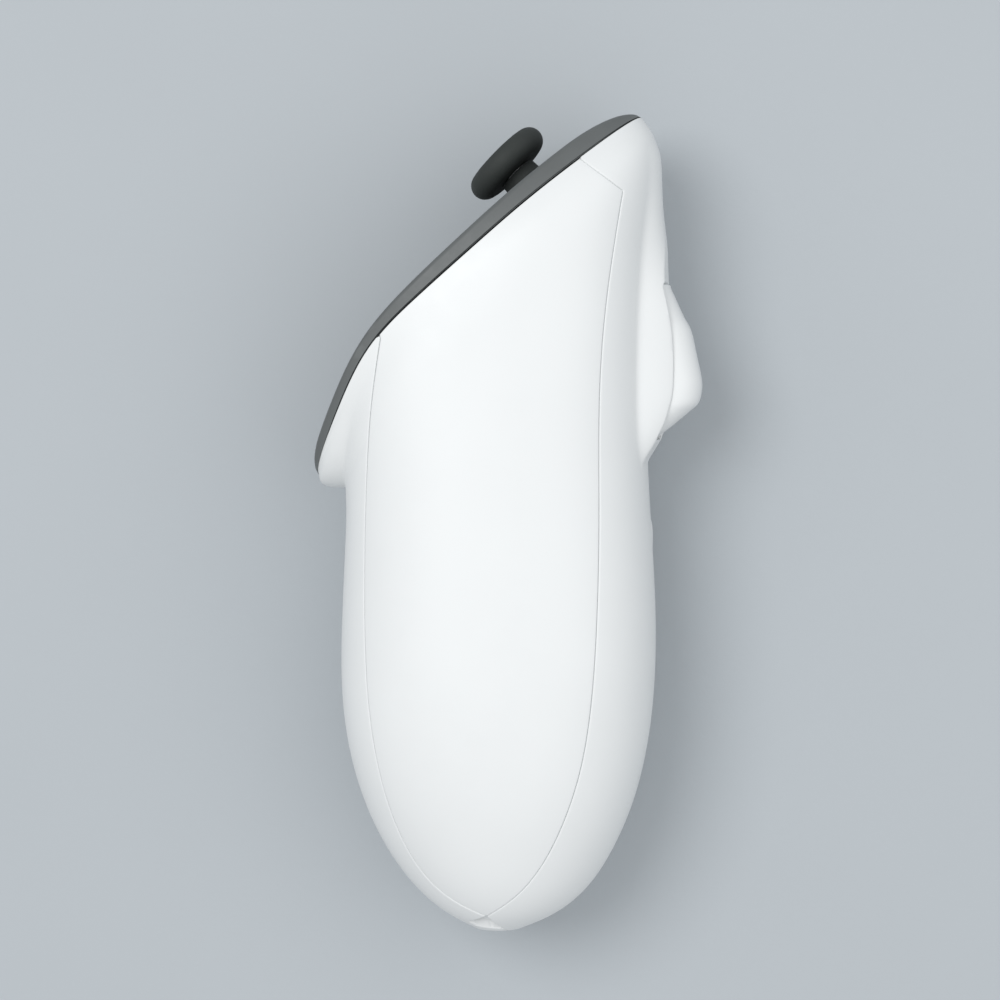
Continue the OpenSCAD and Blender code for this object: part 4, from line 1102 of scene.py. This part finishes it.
def grip_key_shape():
    proud, crown_r, count, edge = 0.6, 17.0, 120, 0.7
    flange_top, flange_low, flange_w, flange_ease = -3.5, -4.3, 0.5, 0.1
    foot, plunger_r, plunger_ease, plunger_top = -5.1, 1.2, 0.15, flange_low + 0.2

    def ring(grow, height=None, drop=0.0, share=1.0):
        outline = stadium(grow, count) * share
        crown = proud - crown_r + np.sqrt(crown_r**2 - outline[:, 1] ** 2) - drop
        x = crown if height is None else np.full(count, height)
        return np.column_stack([x, outline])

    rings = [
        ring(flange_w - flange_ease, flange_low), ring(flange_w, flange_low + flange_ease),
        ring(flange_w, flange_top), ring(0, flange_top),
    ]
    for a in np.radians(np.linspace(0, 90, 9)):
        rings.append(ring(-edge * (1 - math.cos(a)), drop=edge * (1 - math.sin(a))))
    rings += [ring(-edge, share=q) for q in np.linspace(1, 0.02, 14)[1:]]
    points = np.vstack(rings + [[[proud, 0, 0], [flange_low, 0, 0]]])
    n = len(rings) * count
    faces = grid_faces(len(rings), count) + fan_faces((len(rings) - 1) * count, count, n)
    faces += flipped(fan_faces(0, count, n + 1))
    plunger = lathe([
        (0, foot), (plunger_r - plunger_ease, foot), (plunger_r, foot + plunger_ease),
        (plunger_r, plunger_top), (0, plunger_top),
    ], 40)
    plunger = moved(plunger, Matrix.Rotation(math.pi / 2, 4, "Y"))
    return moved(join_shapes((points, faces), plunger), GRIP)


add_piece("grip_key_cap", grip_key_shape(), "grip_lever", "shell_white", ["grip_key"])


# Strap eyelet: a rolled tube.
def eyelet_shape():
    half, outer, bore, ease = STRAP_HALF, STRAP_OUTER, 1.0, 0.18
    profile = [
        (bore, -half + ease), (bore + ease, -half), (outer - ease, -half), (outer, -half + ease),
        (outer, half - ease), (outer - ease, half), (bore + ease, half), (bore, half - ease),
    ]
    place = Matrix.Translation((*STRAP_AT, MID_Z - STRAP_DROP))
    return moved(tube(profile, 48), place @ Matrix.Rotation(math.pi / 2, 4, "Y"))


add_piece("strap_eyelet_tube", eyelet_shape(), "controller", "steel", ["strap_eyelet"])


# Cells: crimped jacket, bare ends, sealing ring and button.
def cell_shape(low, high, button_up):
    middle, radius, length = (low + high) / 2, (high[0] - low[0]) / 2, high[1] - low[1]
    base_dish, base_round, groove, shoulder, seal_depth = 0.12, 0.6, 0.12, 0.55, 0.3
    button_r, button_round, button_rise = 2.7, 0.35, 0.65
    body = length - button_round - button_rise
    profile = [(0, base_dish), (radius - 3.2, base_dish), (radius - 2.8, 0), (radius - 1.0, 0)]
    profile += arc((radius - base_round, base_round), base_round, -80, 0, 8)
    profile += [
        (radius, body - 1.5), (radius - groove, body - 1.35), (radius - groove, body - 1.1),
        (radius, body - 0.95),
    ]
    profile += arc((radius - shoulder, body - shoulder), shoulder, 0, 85, 8)
    profile += [
        (radius - 1.2, body), (radius - 1.35, body - seal_depth), (3.3, body - seal_depth),
        (3.1, body - 0.05),
    ]
    profile += arc((button_r - button_round, body + button_rise), button_round, 0, 85, 8)
    profile.append((0, length))
    turn = Matrix.Rotation(-math.pi / 2 if button_up else math.pi / 2, 4, "X")
    start = low[1] if button_up else high[1]
    return moved(lathe(profile, 96), Matrix.Translation((middle[0], start, middle[2])) @ turn)


CELL_COLOUR = (0.55, 0.42, 0.16)
for node, button_up in (("cell_a", True), ("cell_b", False)):
    low, high = (np.array(c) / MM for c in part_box(node))
    ends = (low[1], high[1]) if button_up else (high[1], low[1])
    jacket = cell_material(node + "_jacket", CELL_COLOUR, *ends)
    can = cell_shape(low, high, button_up)
    add_piece(node + "_can", can, "controller", "cell_jacket", [node], material=jacket)


# Floor, light and camera.
def floor():
    half, steps = 1500.0, 4
    line = np.linspace(-half, half, steps)
    points = [[x, y, 0.0] for y in line for x in line]
    faces = [
        [j * steps + i, j * steps + i + 1, (j + 1) * steps + i + 1, (j + 1) * steps + i]
        for j in range(steps - 1) for i in range(steps - 1)
    ]
    mesh = bpy.data.meshes.new("floor")
    mesh.from_pydata((np.array(points) * MM).tolist(), [], faces)
    mesh.materials.append(surface(
        "floor_paper", FLOOR_COLOUR, (0.8, 0.9), shade=0.015, mottle=14, grain=900,
        grain_height=0.00003, Specular_IOR_Level=0.1,
    ))
    obj = bpy.data.objects.new("floor", mesh)
    bpy.context.scene.collection.objects.link(obj)


def aim(obj, target, up=(0, 1, 0)):
    """Turns a camera or lamp to look at a point, with the picture's up along a direction."""
    back = (obj.location - Vector(target)).normalized()
    right = Vector(up).cross(back).normalized()
    turn = Matrix((right, back.cross(right), back)).transposed()
    obj.rotation_euler = turn.to_euler()


def soft_light(name, place, size, power):
    lamp = bpy.data.lights.new(name, "AREA")
    lamp.shape = "DISK"
    lamp.size = size
    lamp.energy = power
    obj = bpy.data.objects.new(name, lamp)
    obj.location = place
    bpy.context.scene.collection.objects.link(obj)
    aim(obj, (0, 0, MID_Z * MM), LAMP_UP)


def studio_world():
    """Even light from all round, with a pale background where the camera sees it, also through glass."""
    world = bpy.data.worlds.new("studio")
    bpy.context.scene.world = world
    world.use_nodes = True
    tree = world.node_tree
    tree.nodes.clear()
    path = tree.nodes.new("ShaderNodeLightPath")
    seen = tree.nodes.new("ShaderNodeMath")
    seen.operation = "MAXIMUM"
    tree.links.new(path.outputs["Is Camera Ray"], seen.inputs[0])
    tree.links.new(path.outputs["Is Transmission Ray"], seen.inputs[1])
    light, backdrop = (tree.nodes.new("ShaderNodeBackground") for _ in range(2))
    set_inputs(light, {"Color": (*WORLD_COLOUR, 1), "Strength": WORLD_STRENGTH})
    set_inputs(backdrop, {"Color": (*BACKDROP_COLOUR, 1), "Strength": BACKDROP_STRENGTH})
    both = tree.nodes.new("ShaderNodeMixShader")
    tree.links.new(seen.outputs[0], both.inputs["Fac"])
    tree.links.new(light.outputs[0], both.inputs[1])
    tree.links.new(backdrop.outputs[0], both.inputs[2])
    out = tree.nodes.new("ShaderNodeOutputWorld")
    tree.links.new(both.outputs[0], out.inputs["Surface"])


def photo_camera():
    """Nearly straight down on the near side, as in the photograph."""
    target, distance = Vector(CAMERA_TARGET) * MM, CAMERA_DISTANCE * MM
    data = bpy.data.cameras.new("photo_camera")
    data.sensor_width = CAMERA_SENSOR
    data.lens = CAMERA_SENSOR * CAMERA_DISTANCE / CAMERA_FIELD
    data.clip_start = 0.01
    data.clip_end = 20
    camera = bpy.data.objects.new("photo_camera", data)
    camera.location = target + Vector(CAMERA_FROM).normalized() * distance
    bpy.context.scene.collection.objects.link(camera)
    aim(camera, target)
    bpy.context.scene.camera = camera


floor()
studio_world()
soft_light("key_light", (-0.40, 0.33, 1.15), 0.7, 6.2)
soft_light("fill_light", (0.70, 0.10, 1.0), 1.2, 3.6)
photo_camera()
bpy.context.scene.view_settings.view_transform = "Standard"
